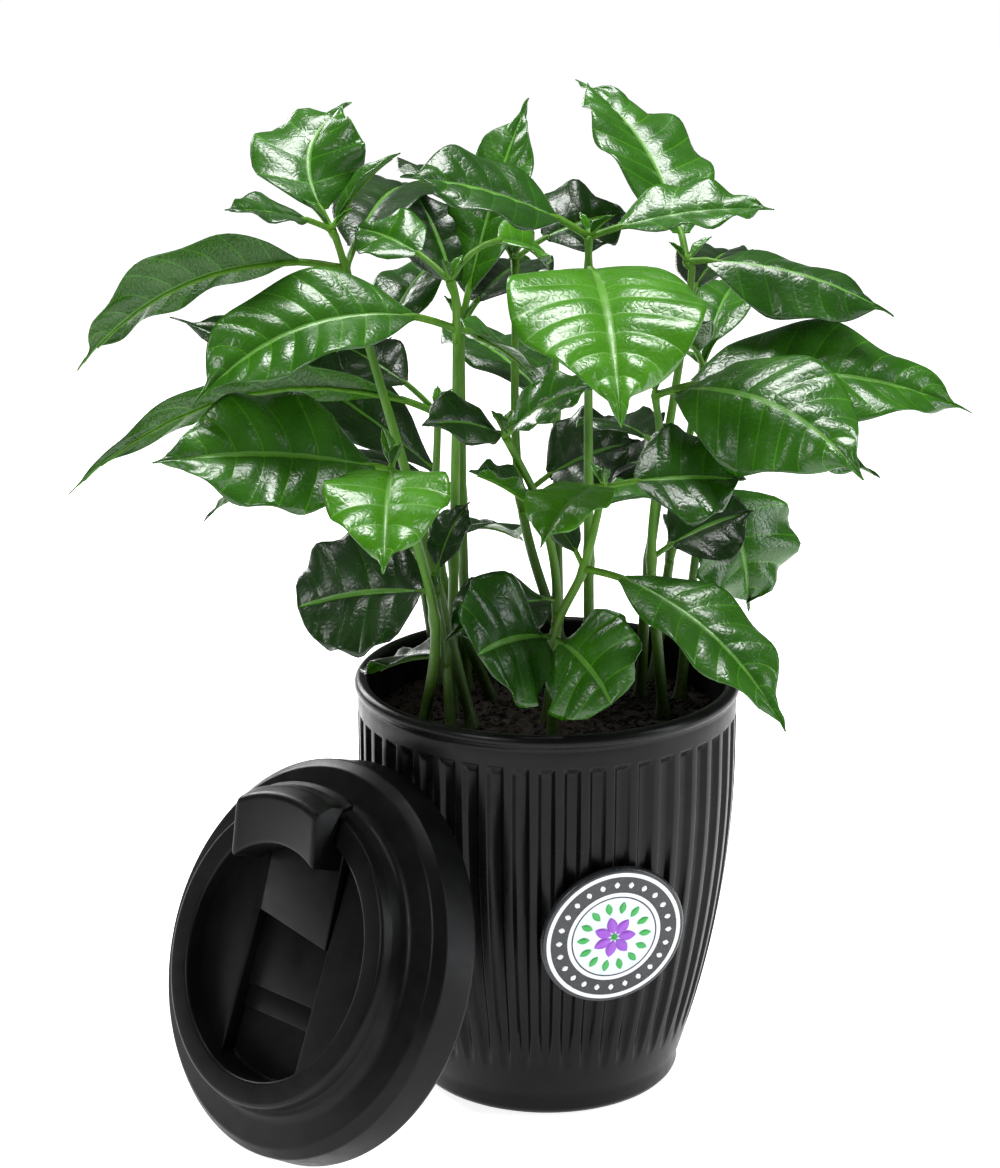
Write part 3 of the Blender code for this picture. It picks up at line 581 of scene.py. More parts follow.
for depth, radius in ((60, 52.8), (3.4, 39.5)):
    start = len(bed_points)
    for step in range(BED_STEPS):
        angle = 2 * math.pi * step / BED_STEPS
        bed_points.append((radius * math.cos(angle), radius * math.sin(angle), depth))
    for step in range(BED_STEPS):
        k = (step + 1) % BED_STEPS
        bed_faces.append((rim_start + step, start + step, start + k, rim_start + k))
    rim_start = start
bed_faces.append(tuple(rim_start + step for step in range(BED_STEPS)))
bed_mesh = tidied(mesh_from(bed_points, bed_faces))
show("soil_bed", bed_mesh, (peat_and_painted_shade,), ("soil",))

# %% Soil crumbs
CRUMBS_PER_M2 = 170000.0
CRUMB_SEED = 7


def crumb_tree():
    tree = bpy.data.node_groups.new("crumbs_on_soil", "GeometryNodeTree")
    face = tree.interface
    face.new_socket("Bed", in_out="INPUT", socket_type="NodeSocketGeometry")
    face.new_socket("Density", in_out="INPUT", socket_type="NodeSocketFloat")
    face.new_socket("Size", in_out="INPUT", socket_type="NodeSocketFloat")
    face.new_socket("Seed", in_out="INPUT", socket_type="NodeSocketInt")
    face.new_socket("Finish", in_out="INPUT", socket_type="NodeSocketMaterial")
    face.new_socket("Geometry", in_out="OUTPUT", socket_type="NodeSocketGeometry")
    nodes, link = tree.nodes, tree.links.new
    given = nodes.new("NodeGroupInput")
    spread = nodes.new("GeometryNodeDistributePointsOnFaces")
    link(given.outputs["Bed"], spread.inputs["Mesh"])
    link(given.outputs["Density"], spread.inputs["Density"])
    link(given.outputs["Seed"], spread.inputs["Seed"])
    lump = nodes.new("GeometryNodeMeshIcoSphere")
    lump.inputs["Subdivisions"].default_value = 1
    link(given.outputs["Size"], lump.inputs["Radius"])
    turn = nodes.new("FunctionNodeRandomValue")
    turn.data_type = "FLOAT_VECTOR"
    turn.inputs["Max"].default_value = (6.28, 6.28, 6.28)
    size = nodes.new("FunctionNodeRandomValue")
    size.data_type = "FLOAT_VECTOR"
    size.inputs["Min"].default_value = (0.35, 0.3, 0.25)
    size.inputs["Max"].default_value = (1.5, 1.1, 0.9)
    for draw in (turn, size):
        link(given.outputs["Seed"], draw.inputs["Seed"])
    copies = nodes.new("GeometryNodeInstanceOnPoints")
    link(spread.outputs["Points"], copies.inputs["Points"])
    link(lump.outputs["Mesh"], copies.inputs["Instance"])
    link(turn.outputs["Value"], copies.inputs["Rotation"])
    link(size.outputs["Value"], copies.inputs["Scale"])
    real = nodes.new("GeometryNodeRealizeInstances")
    link(copies.outputs["Instances"], real.inputs["Geometry"])
    paint = nodes.new("GeometryNodeSetMaterial")
    link(real.outputs["Geometry"], paint.inputs["Geometry"])
    link(given.outputs["Finish"], paint.inputs["Material"])
    out = nodes.new("NodeGroupOutput")
    link(paint.outputs["Geometry"], out.inputs["Geometry"])
    return tree


top_faces = [f for f in bed_faces if min(bed_points[i][2] for i in f) > SOIL_TOP - 3]
inputs = {"Density": CRUMBS_PER_M2, "Size": 1.3 * MM, "Seed": CRUMB_SEED, "Finish": peat_and_painted_shade}
crumbs = run_tree(crumb_tree(), mesh_from(bed_points, top_faces), inputs)
show("soil_crumbs", crumbs, (peat_and_painted_shade,), (), smooth=False)

# %% [markdown]
# ## Badge
# A slightly domed disc with printed rings, glued to the ribs. The rings are bands of the turned
# face with their own finishes. The picture in the middle is a plain rosette of petals and leaves,
# and dots run round the dark band: each is one small flat shape repeated by the ring tree and
# laid just proud of the face.

# %% Badge
BADGE_RADIUS, BADGE_THICK, BADGE_Z, BADGE_TURN = 23.7, 2.4, 70.2, 20.0
BANDS = ((13.7, "paper"), (14.2, "ink"), (15.5, "white"), (21.0, "ink"), (22.3, "white"), (99, "ink"))


def print_finish(name, first, second, rough=(0.30, 0.42)):
    tree = Tree(name)
    colour = tree.tones(tree.noise(6), first, second)
    gloss = tree.spread(tree.noise(3), rough[0], rough[1])
    return tree.wire(colour, gloss, tree.bump(tree.noise(0.5, 2), 0.006))


prints = {
    "paper": print_finish("badge_paper", (0.66, 0.72, 0.84), (0.72, 0.77, 0.87)),
    "white": print_finish("badge_white", (0.76, 0.78, 0.82), (0.82, 0.84, 0.87)),
    "ink": print_finish("badge_ink", (0.018, 0.020, 0.023), (0.030, 0.032, 0.036), (0.22, 0.34)),
    "purple": print_finish("badge_purple", (0.27, 0.055, 0.52), (0.33, 0.08, 0.60)),
    "green": print_finish("badge_green", (0.02, 0.33, 0.05), (0.04, 0.42, 0.08)),
}


def dome(radius):
    """Height of the badge's face above its back."""
    return BADGE_THICK + 0.5 * (1 - (radius / BADGE_RADIUS) ** 2)


def badge_matrix():
    slope = math.degrees(math.atan2(wall_radius(BADGE_Z + 10) - wall_radius(BADGE_Z - 10), 20))
    place = Matrix.Translation((0, -(wall_radius(BADGE_Z) + 0.65) * MM, BADGE_Z * MM))
    turn = Matrix.Rotation(math.radians(BADGE_TURN), 4, "Z")
    return turn @ place @ Matrix.Rotation(math.radians(90 + slope), 4, "X")


edges = (0, 4, 8, 12, 13.7, 14.2, 15.5, 18, 21.0, 22.3, 22.9)
face_rows = [(r, dome(r)) for r in edges] + [(23.4, BADGE_THICK - 0.25), (23.7, BADGE_THICK - 0.8)]
disc = spun(face_rows + [(23.7, 0.3), (23.4, 0.0), (0, 0)], 144)
for key in ("paper", "white", "ink"):
    disc.materials.append(prints[key])
order = ("paper", "white", "ink")
for face in disc.polygons:
    radius = math.hypot(face.center.x, face.center.y) / MM
    inside = next(name for limit, name in BANDS if radius < limit)
    face.material_index = order.index(inside if face.center.z > 2 * MM else "ink")
disc.transform(badge_matrix())
show("badge_disc", disc, (), ("badge",))


def petal(inner, outer, half, lift=0.12, steps=10):
    """A flat pointed petal along +X, laid on the dome."""
    rows = []
    for i in range(steps + 1):
        t = i / steps
        x = inner + (outer - inner) * t
        width = half * math.sin(math.pi * t) ** 0.8 if 0 < i < steps else 0.02
        rows.append([(x, -width), (x, 0), (x, width)])
    points = [(x, y, dome(math.hypot(x, y)) + lift) for row in rows for x, y in row]
    points += [(x, y, dome(math.hypot(x, y)) - 0.1) for row in rows for x, y in row]
    count, faces = 3 * len(rows), []
    for i in range(steps):
        for k in range(2):
            a = 3 * i + k
            faces.append((a, a + 3, a + 4, a + 1))
            faces.append((count + a, count + a + 1, count + a + 4, count + a + 3))
        for k in (0, 2):
            a = 3 * i + k
            faces.append((a, a + 3, count + a + 3, count + a))
    for a in (0, 3 * steps):
        faces += [(a, a + 1, count + a + 1, count + a), (a + 1, a + 2, count + a + 2, count + a + 1)]
    return tidied(mesh_from(points, faces), 0.0000001)


motifs = [
    ring_of(petal(1.2, 7.2, 1.75), 7, prints["purple"], 0.0),
    ring_of(petal(8.2, 12.4, 1.1), 14, prints["green"], 0.0),
    ring_of(petal(0.0, 1.3, 0.65), 5, prints["green"], 0.0),
    ring_of(petal(17.2, 19.3, 0.85), 24, prints["white"], 0.0),
]
motif = joined(motifs)
motif.transform(badge_matrix())
show("badge_print", motif, (), ())

# %% [markdown]
# ## Lid
# The sip lid is one turned shell: a flat ring stands above a sunken floor, a hollow neck sweeps
# out to a shoulder, and a short skirt clips over a cup's rim. Two raised pads flank a channel that
# takes the flap. All of it is made lying flat about Z and then leant against the pot.

# %% Lid shell
LID_RADIUS, LID_FLOOR, LID_SHOULDER = 64.0, 10.4, 14.8
RING_OUTER, RING_INNER, RING_TOP = 47.8, 39.8, 24.5
RECESS_FLOOR, PAD_TOP, CHANNEL_HALF = 13.2, 18.4, 17.4
LID_FACING, LID_LEAN, LID_TURN = -46.8, 23.6, 3.0
LID_PLACE = (-68.3, -53.75)

leaning = Matrix.Translation(Vector((*LID_PLACE, LID_RADIUS * math.cos(math.radians(LID_LEAN)) + 0.3)) * MM)
leaning = leaning @ Matrix.Rotation(math.radians(LID_FACING), 4, "Z")
leaning = leaning @ Matrix.Rotation(math.radians(90 - LID_LEAN), 4, "X")
leaning = leaning @ Matrix.Rotation(math.radians(LID_TURN), 4, "Z")

lid_corners = [
    (0, RECESS_FLOOR), (RING_INNER - 0.4, RECESS_FLOOR, 1.2), (RING_INNER, RING_TOP, 1.3),
    (RING_OUTER, RING_TOP, 1.6), (RING_OUTER + 0.7, 20.5, 1.0), (50.2, 15.9, 6.0),
    (59.6, LID_SHOULDER, 1.8), (62.6, 11.6, 2.0), (LID_RADIUS - 0.1, 1.2, 0.9), (63.3, 0.0, 0.3),
    (61.6, 0.0, 0.3), (60.6, 8.0, 2.0), (52.0, LID_FLOOR, 2.0), (0, LID_FLOOR),
]
shell = spun(curved(lid_corners, 1.0, 6), 160)


def pad_outline(side, steps=40):
    """A D shape: the recess's round edge, cut straight beside the channel."""
    widest = math.acos(CHANNEL_HALF / (RING_INNER + 0.2))
    angles = np.linspace(-widest, widest, steps)
    arc = [(RING_INNER + 0.2) * np.array((math.cos(a), math.sin(a))) for a in angles]
    return [(side * x, y) for x, y in arc]


def channel_step(near, far, top):
    """A low step across the floor of the channel."""
    half = CHANNEL_HALF + 0.3
    return slab([(-half, far), (half, far), (half, near), (-half, near)], RECESS_FLOOR - 1, top, 0.5)


pads = [slab(pad_outline(side), RECESS_FLOOR - 1, PAD_TOP, 0.6) for side in (-1, 1)]
steps = [channel_step(9, -13.5, RECESS_FLOOR + 1.6), channel_step(-13, -21, RECESS_FLOOR + 0.8)]
lid_mesh = joined([shell, *pads, *steps])
lid_mesh.transform(leaning)
show("lid_shell", lid_mesh, (lid_black,), ("lid_shell",))

# %% [markdown]
# ## Flap
# The drinking flap hooks over the ring. Its block has straight parallel sides, and its profile is
# drawn back towards them so that both ends follow the ring. A flat tongue runs from under the
# block down the channel.

# %% Flap
BLOCK_LEFT, BLOCK_RIGHT = -22.0, 15.5
block_corners = [
    (33.2, 20.3), (32.6, 31.8, 1.6), (47.6, 36.0, 2.6), (51.2, 30.5, 5.0), (51.8, 25.5, 2.0),
    (53.4, 23.6, 0.8), (53.5, 21.4, 0.4), (51.6, 21.6, 0.4), (50.4, 26.2, 1.5), (41.0, 26.2, 0.3),
    (40.6, 20.3, 0.4), (33.2, 20.3),
]


def ring_block(corners, left, right, steps=28):
    """A closed profile carried across the ring along X, its ends drawn in so that they look round."""
    ring = curved(corners, 1.0, 5)[:-1]
    centre = np.mean(np.array(ring), axis=0)
    stations = [(left, 0.93), (left + 0.15, 0.975)]
    stations += [(x, 1.0) for x in np.linspace(left + 0.6, right - 0.6, steps)]
    stations += [(right - 0.15, 0.975), (right, 0.93)]
    points, faces = [], []
    for x, size in stations:
        for r, z in ring:
            r, z = centre + (np.array((r, z)) - centre) * size
            points.append((x, math.sqrt(r * r - x * x), z))
    count = len(ring)
    for i in range(len(stations) - 1):
        for k in range(count):
            a, b = i * count + k, i * count + (k + 1) % count
            faces.append((a, b, b + count, a + count))
    faces += [tuple(range(count)), tuple(range((len(stations) - 1) * count, len(stations) * count))]
    return tidied(mesh_from(points, faces), 0.0000001)


tongue = slab([(-16.4, 10.2), (16.4, 5.2), (16.4, 38), (-16.4, 38)], 19.2, 21.4, 0.45)
for vertex in tongue.vertices:
    vertex.co.z -= 0.0024 * max(0.0, (28 * MM - vertex.co.y) / (18.5 * MM))
flap_mesh = joined([ring_block(block_corners, BLOCK_LEFT, BLOCK_RIGHT), tongue])
flap_mesh.transform(leaning)
show("lid_flap", flap_mesh, (lid_black,), ("lid_flap",))

# %% [markdown]
# ## Seedlings
# Young coffee carries its leaves in pairs on thin stems. Each seedling is a path from the soil
# through its joints, and a short list of leaves. A leaf is told by the joint that it grows from,
# the bearing and rise of the line to its tip, its reach and width, and how it arches, rolls and
# folds. These are the rows of the plant's solids, written again here, so that leaf and solid
# agree. They are a list worked out beforehand by another program from tips chosen by eye, and
# not a rule of growth: only the rear seedlings grow by a rule. The tone of each leaf is told
# apart: deep green on top, and near-black inside, under and behind the crown, which is painted
# shade.


# %% Plans
class Leaf(NamedTuple):
    joint: int
    bearing: float
    rise: float
    reach: float
    width: float
    droop: float = 40
    roll: float = 0
    fold: float = 12
    petiole: float = 8
    sweep: float = 0
    round_blade: bool = False


class Seedling(NamedTuple):
    path: tuple
    leaves: tuple


SEEDLINGS = {
    "far_left": Seedling(
        path=((-24, -11, 122), (-40, -15, 191), (-62, -20, 273), (-66, -20, 285)),
        leaves=(
            Leaf(2, -169, -19, 87, 27, droop=70, roll=52, fold=20, petiole=14),
            Leaf(2, 76, 8, 83, 30, droop=55, roll=0, fold=10, petiole=10),
            Leaf(3, 82, 41, 47, 36, droop=35, roll=0, fold=10, petiole=6, sweep=-130),
            Leaf(3, -140, 15, 40, 18, droop=25, roll=-20, fold=10, petiole=10),
            Leaf(3, 37, 40, 33, 8, droop=40, roll=0, fold=50, petiole=3),
        ),
    ),
    "left": Seedling(
        path=((-31, 3, 122), (-30, -4, 176), (-28, -28, 256), (-30, -28, 271)),
        leaves=(
            Leaf(2, -156, -11, 86, 38, droop=75, roll=-30, fold=14, petiole=14),
            Leaf(2, 57, -28, 51, 32, droop=30, roll=20, fold=10, petiole=8),
            Leaf(3, 142, 18, 40, 24, droop=35, roll=-25, fold=10, petiole=14),
            Leaf(3, 43, -2, 41, 20, droop=110, roll=30, fold=20, petiole=20),
        ),
    ),
    "middle": Seedling(
        path=((14, 2, 122), (13, -5, 176), (12, -20, 273), (12, -20, 283)),
        leaves=(
            Leaf(2, -84, -20, 86, 58, droop=70, roll=0, fold=6, petiole=6),
            Leaf(3, -156, 20, 65, 34, droop=30, roll=-30, fold=10, petiole=12),
            Leaf(3, 10, 7, 58, 28, droop=25, roll=20, fold=16, petiole=10),
        ),
    ),
    "right_back": Seedling(
        path=((31, 20, 122), (33, 12, 172), (44, 6, 259), (43, 5, 271)),
        leaves=(
            Leaf(2, 74, 3, 67, 24, droop=30, roll=0, fold=12, petiole=8),
            Leaf(2, -122, -9, 31, 20, droop=50, roll=0, fold=12, petiole=8),
            Leaf(3, 118, 33, 88, 40, droop=35, roll=10, fold=10, petiole=10, sweep=30),
            Leaf(3, -4, -14, 67, 32, droop=40, roll=30, fold=-25, petiole=6),
        ),
    ),
    "right": Seedling(
        path=((38, 2, 122), (33, -5, 177), (35, -10, 214), (33, -16, 233)),
        leaves=(
            Leaf(1, 17, 21, 37, 32, droop=30, roll=40, fold=12, petiole=8),
            Leaf(2, -8, -5, 69, 30, droop=50, roll=20, fold=12, petiole=12),
            Leaf(2, 122, -1, 40, 30, droop=50, roll=0, fold=12, petiole=8),
            Leaf(3, 9, -5, 102, 42, droop=45, roll=30, fold=8, petiole=12),
            Leaf(3, -37, -11, 77, 46, droop=70, roll=42, fold=-18, petiole=8),
        ),
    ),
    "front_left": Seedling(
        path=((-40, -20, 122), (-35, -35, 166), (-47, -48, 217)),
        leaves=(
            Leaf(2, -159, 7, 74, 42, droop=25, roll=-45, fold=8, petiole=6),
            Leaf(2, -90, -19, 53, 38, droop=60, roll=0, fold=14, petiole=4),
        ),
    ),
    "inner_left": Seedling(
        path=((-18, 14, 122), (-35, 5, 173), (-35, 0, 223)),
        leaves=(
            Leaf(2, -158, -7, 120, 17, droop=72, roll=60, fold=10, petiole=12),
            Leaf(2, 164, 31, 42, 26, droop=30, roll=-20, fold=8, petiole=14),
        ),
    ),
    "low_left": Seedling(
        path=((-30, -27, 122), (-32, -27, 152), (-35, -30, 173)),
        leaves=(
            Leaf(1, 147, -22, 31, 26, droop=30, roll=0, fold=12, petiole=4, round_blade=True),
            Leaf(2, 175, -8, 44, 44, droop=30, roll=-45, fold=5, petiole=4, round_blade=True),
            Leaf(2, 53, 56, 31, 14, droop=60, roll=0, fold=12, petiole=8),
        ),
    ),
    "front": Seedling(
        path=((2, -28, 122), (2, -38, 161), (11, -40, 184), (17, -40, 210)),
        leaves=(
            Leaf(1, -58, -20, 35, 38, droop=40, roll=60, fold=0, petiole=4, round_blade=True),
            Leaf(1, -136, 3, 32, 44, droop=40, roll=-60, fold=0, petiole=4, round_blade=True),
            Leaf(2, -37, -26, 83, 32, droop=60, roll=10, fold=8, petiole=14),
            Leaf(2, 151, 46, 27, 20, droop=40, roll=0, fold=12, petiole=6),
            Leaf(3, 13, 0, 45, 38, droop=20, roll=35, fold=8, petiole=10),
            Leaf(3, -117, -11, 43, 26, droop=60, roll=0, fold=10, petiole=6),
        ),
    ),
    "centre": Seedling(
        path=((0, -8, 122), (3, -18, 167), (-2, -25, 198), (-13, -30, 223)),
        leaves=(
            Leaf(1, -137, -4, 47, 26, droop=40, roll=-35, fold=10, petiole=4),
            Leaf(2, -167, 32, 27, 22, droop=30, roll=0, fold=28, petiole=5),
            Leaf(3, -10, 31, 33, 22, droop=50, roll=30, fold=10, petiole=3),
            Leaf(3, -141, 15, 33, 22, droop=40, roll=-35, fold=10, petiole=3),
        ),
    ),
    "back_left": Seedling(
        path=((-27, 26, 122), (-28, 22, 189), (-28, 20, 247)),
        leaves=(
            Leaf(1, -179, -5, 85, 24, droop=90, roll=0, fold=12, petiole=14),
            Leaf(1, -173, 34, 112, 36, droop=30, roll=-30, fold=12, petiole=14),
            Leaf(2, 55, 62, 78, 28, droop=20, roll=0, fold=12, petiole=12),
            Leaf(2, 128, 58, 48, 34, droop=40, roll=0, fold=12, petiole=14),
            Leaf(2, 69, 8, 67, 32, droop=40, roll=0, fold=12, petiole=14),
        ),
    ),
    "back_middle": Seedling(
        path=((10, 28, 122), (-9, 30, 187), (-11, 34, 266)),
        leaves=(
            Leaf(1, 0, 27, 44, 36, droop=40, roll=35, fold=12, petiole=12),
            Leaf(2, 24, 17, 42, 34, droop=40, roll=30, fold=12, petiole=12),
            Leaf(2, 121, 13, 80, 36, droop=50, roll=12, fold=12, petiole=12),
        ),
    ),
    "low_right": Seedling(
        path=((44, 18, 122), (47, 20, 156), (51, 18, 200)),
        leaves=(
            Leaf(2, -29, -70, 48, 46, droop=48, roll=20, fold=8, petiole=8),
            Leaf(2, 148, -8, 40, 34, droop=40, roll=-20, fold=12, petiole=8),
            Leaf(2, 63, -8, 82, 36, droop=60, roll=0, fold=12, petiole=10),
        ),
    ),
}


# Each seedling's leaf tones in order. Dark marks leaves inside, under and behind the crown, and that
# near-black green is painted shade.
LEAF_TONES = {
    "far_left": "mid dark mid deep mid", "left": "mid mid mid young", "middle": "young deep mid",
    "right_back": "dark dark mid deep", "right": "dark mid dark mid mid", "front_left": "mid young",
    "inner_left": "deep dark", "low_left": "dark dark dark", "front": "mid deep mid dark deep young",
    "centre": "dark deep mid dark", "back_left": "dark dark mid dark dark",
    "back_middle": "dark dark dark", "low_right": "mid dark dark",
    "rear_left": "deep deep mid deep", "rear_middle": "mid deep deep mid",
    "rear_right": "deep mid deep deep",
}


class Back(NamedTuple):
    root: tuple
    top: tuple
    first: float
    seed: int


BACK_JOINTS = (0.35, 0.66, 1.0)
BACK_REACH = (58.0, 76.0, 62.0)
BACK_RISE = (-8.0, 4.0, 24.0)
BACK_WIDTH = 0.44
BACK_SEEDLINGS = {
    "rear_left": Back((-36, 32), (-58, 66, 226), 60, 3),
    "rear_middle": Back((4, 47), (2, 82, 238), 20, 5),
    "rear_right": Back((36, 38), (52, 66, 224), 75, 8),
}
print("seedlings:", len(SEEDLINGS), "in front and", len(BACK_SEEDLINGS), "behind")


# %% Paths, lines and widths
def smooth_path(points, steps=4):
    """Points along a Catmull-Rom curve through the given ones."""
    given = [Vector(p) for p in points]
    given = [2 * given[0] - given[1]] + given + [2 * given[-1] - given[-2]]
    found = []
    for a, b, c, d in zip(given, given[1:], given[2:], given[3:]):
        for i in range(steps):
            t = i / steps
            square, cube = 2 * a - 5 * b + 4 * c - d, 3 * b - a - 3 * c + d
            found.append(0.5 * (2 * b + (c - a) * t + square * t**2 + cube * t**3))
    return found + [given[-2]]


def leaf_line(leaf, base, steps):
    """Points, right sides and upper normals along a leaf's midrib, and their shares."""
    share = np.linspace(0, 1, steps + 1)
    rise = np.radians(leaf.rise + leaf.droop * (0.5 - share))
    turn = np.radians(leaf.bearing + leaf.sweep * (share - 0.5))
    ahead = np.stack([np.cos(rise) * np.cos(turn), np.cos(rise) * np.sin(turn), np.sin(rise)], 1)
    line = np.vstack([np.zeros(3), np.cumsum((ahead[1:] + ahead[:-1]) / 2, 0)])
    swing = math.radians(leaf.bearing) - math.atan2(line[-1][1], line[-1][0])
    cos, sin = math.cos(swing), math.sin(swing)
    about = np.array([[cos, sin, 0], [-sin, cos, 0], [0, 0, 1]])
    line, ahead = line @ about, ahead @ about
    line *= leaf.reach / np.linalg.norm(line[-1])
    right = np.stack([ahead[:, 1], -ahead[:, 0], 0 * share], 1)
    right /= np.linalg.norm(right, axis=1)[:, None]
    return np.array(base) + line, right, np.cross(right, ahead), share


def blade_form(blade, round_blade=False):
    """Half width along the blade, from 0 to 1: a full oval with a narrow drip tip."""
    if round_blade:
        return 2 * np.sqrt(np.clip(blade * (1 - blade), 0, 1))
    body = np.clip(1 - np.abs((blade - 0.45) / 0.46) ** 2.1, 0, 1) ** 0.85
    return (body**4 + np.clip(1 - blade, 0, 0.14) ** 4) ** 0.25


def rear_seedling(back):
    """Stem path and leaf pairs of a rear seedling. Each pair stands a quarter turn from the last."""
    draw = random.Random(back.seed)
    root = Vector((*back.root, SOIL_TOP))
    top = Vector(back.top)
    belly = Vector((0, 0, 0.08 * (top.z - root.z)))
    path = [tuple(root)]
    leaves = []
    for i, share in enumerate(BACK_JOINTS):
        joint = root.lerp(top, share) + belly * math.sin(math.pi * share)
        path.append(tuple(joint))
        for half_turn in (0, 180):
            bearing = back.first + 90 * i + half_turn + draw.uniform(-14, 14)
            reach = BACK_REACH[i] * draw.uniform(0.9, 1.1)
            rise = BACK_RISE[i] + draw.uniform(-8, 8)
            droop = draw.uniform(35, 65)
            leaves.append(Leaf(i + 1, bearing, rise, reach, BACK_WIDTH * reach, droop))
    return Seedling(tuple(path), tuple(leaves))


# %% [markdown]
# ## A leaf
# A coffee leaf looks quilted: eight or nine pairs of sunken side veins run forward from a pale
# midrib, and the blade swells between them. That relief is what breaks the highlights, so it is
# modelled and not painted. The rows of the mesh follow the side veins, a narrow strip of faces
# at each vein takes a paler finish, and Solidify gives the blade its thickness and the underside
# its own duller green. Leaves share no mesh: each one has its own arch, wave and number of veins.

# %% Leaf mesh
VEIN_PARTS = (0.0, 0.055, 0.25, 0.5, 0.75)  # rows between one side vein and the next
OUTWARD = (0.045, 0.14, 0.3, 0.47, 0.64, 0.8, 0.92, 1.0)
FORWARD = 0.13  # how far a side vein runs ahead by the time it meets the margin
BLADE_THICK = 0.35
# A leaf's tone picks its finishes. The dark tone is painted shade for leaves inside and under the crown,
# and its vein strips take the deep green.
LIGHTER = {"dark": leaf_deep, "deep": leaf_mid, "mid": leaf_young, "young": leaf_vein}
TONES = {"dark": leaf_painted_shade, "deep": leaf_deep, "mid": leaf_mid, "young": leaf_young}


def grid_read(share, fine, values):
    """Values along the midrib, read at a grid of shares."""
    return np.stack([np.interp(share, fine, values[:, k]) for k in range(3)], -1)


def leaf_blade(leaf, base, seed, tone):
    """One blade as a mesh: a grid whose rows follow the side veins, given thickness."""
    draw = random.Random(seed)
    veins = max(4, min(10, round(leaf.reach / 9)))
    parts = VEIN_PARTS if leaf.reach > 24 else VEIN_PARTS[::2]
    outward = OUTWARD if leaf.reach > 24 else OUTWARD[1::2]
    rows = np.array([(k + part) / veins for k in range(veins) for part in parts] + [1.0])
    swell = np.array([part for k in range(veins) for part in parts] + [0.0])
    swell = np.where(swell > 0.06, np.sin(np.pi * np.clip((swell - 0.055) / 0.945, 0, 1)) ** 0.7, 0)
    sides = np.array([-c for c in reversed(outward)] + [0.0] + list(outward))
    row, side = np.meshgrid(rows, sides, indexing="ij")
    out = np.abs(side)
    start = leaf.petiole / leaf.reach
    share = start + (1 - start) * (row + FORWARD * 4 * row * (1 - row) * out**1.4)
    line, right, normal, fine = leaf_line(leaf, base, 120)
    centre, right, normal = (grid_read(share, fine, v) for v in (line, right, normal))
    roll = (math.radians(leaf.roll) * np.clip(share / 0.25, 0, 1))[..., None]
    across = right * np.cos(roll) - normal * np.sin(roll)
    above = right * np.sin(roll) + normal * np.cos(roll)
    blade = (share - start) / (1 - start)
    half = leaf.width / 2 * blade_form(blade, leaf.round_blade) + 0.12
    fold = math.radians(leaf.fold)
    room = np.minimum(1, 4 * row) * np.minimum(1, 5 * (1 - row))
    quilt = 0.021 * leaf.width * swell[:, None] * (1 - out**6) * np.minimum(1, out / 0.2) * room
    groove = -0.024 * leaf.width * np.exp(-((out / 0.1) ** 2)) * room
    waves = draw.uniform(2.2, 3.6)
    phase = np.where(side < 0, draw.uniform(0, 6), draw.uniform(0, 6))
    wave = 0.06 * leaf.width * np.sin(2 * np.pi * waves * row + phase) * out**2.5 * room
    cup = half * (math.sin(fold) * (1.15 * out - 0.2 * out**2) - 0.06 * out**3)
    lift = cup + quilt + groove + wave
    points = centre + across * (half * side * math.cos(fold))[..., None] + above * lift[..., None]
    count, columns = len(rows), len(sides)
    index = np.arange(count * columns).reshape(count, columns)
    corners = (index[:-1, :-1], index[:-1, 1:], index[1:, 1:], index[1:, :-1])
    faces = np.stack([c.ravel() for c in corners], 1)
    mesh = mesh_from(points.reshape(-1, 3), faces.tolist())
    near_rib = (np.abs(sides[:-1] + sides[1:]) < 0.06)[None, :].repeat(count - 1, 0)
    on_vein = (np.diff(rows) * veins < 0.06)[:, None].repeat(columns - 1, 1)
    slots = np.where(near_rib, 2, np.where(on_vein, 4, 0)).ravel()
    mesh.polygons.foreach_set("material_index", slots.astype(np.int32))
    for material in (TONES[tone], leaf_under, leaf_vein, leaf_vein, LIGHTER[tone], leaf_young):
        mesh.materials.append(material)
    thick = {"thickness": BLADE_THICK * MM, "offset": -1.0, "material_offset": 1}
    return worked(mesh, ("SOLIDIFY", thick))


def tube(points, radii, sides=8, relief=None):
    """A closed round tube along points. The relief is a share of the radius, by row and angle."""
    points = [Vector(p) for p in points]
    last, side, found, faces = len(points) - 1, None, [], []
    for i, point in enumerate(points):
        ahead = (points[min(i + 1, last)] - points[max(i - 1, 0)]).normalized()
        side = ahead.orthogonal() if side is None else side
        side = (side - ahead * side.dot(ahead)).normalized()
        other = ahead.cross(side)
        for k in range(sides):
            angle = 2 * math.pi * k / sides
            radius = radii[i] * (1 + (relief(i, angle) if relief else 0))
            found.append(point + (side * math.cos(angle) + other * math.sin(angle)) * radius)
    for i in range(last):
        for k in range(sides):
            a, b = sides * i + k, sides * i + (k + 1) % sides
            faces.append((a, b, b + sides, a + sides))
    faces.append(tuple(reversed(range(sides))))
    faces.append(tuple(range(sides * last, sides * (last + 1))))
    return mesh_from(found, faces)


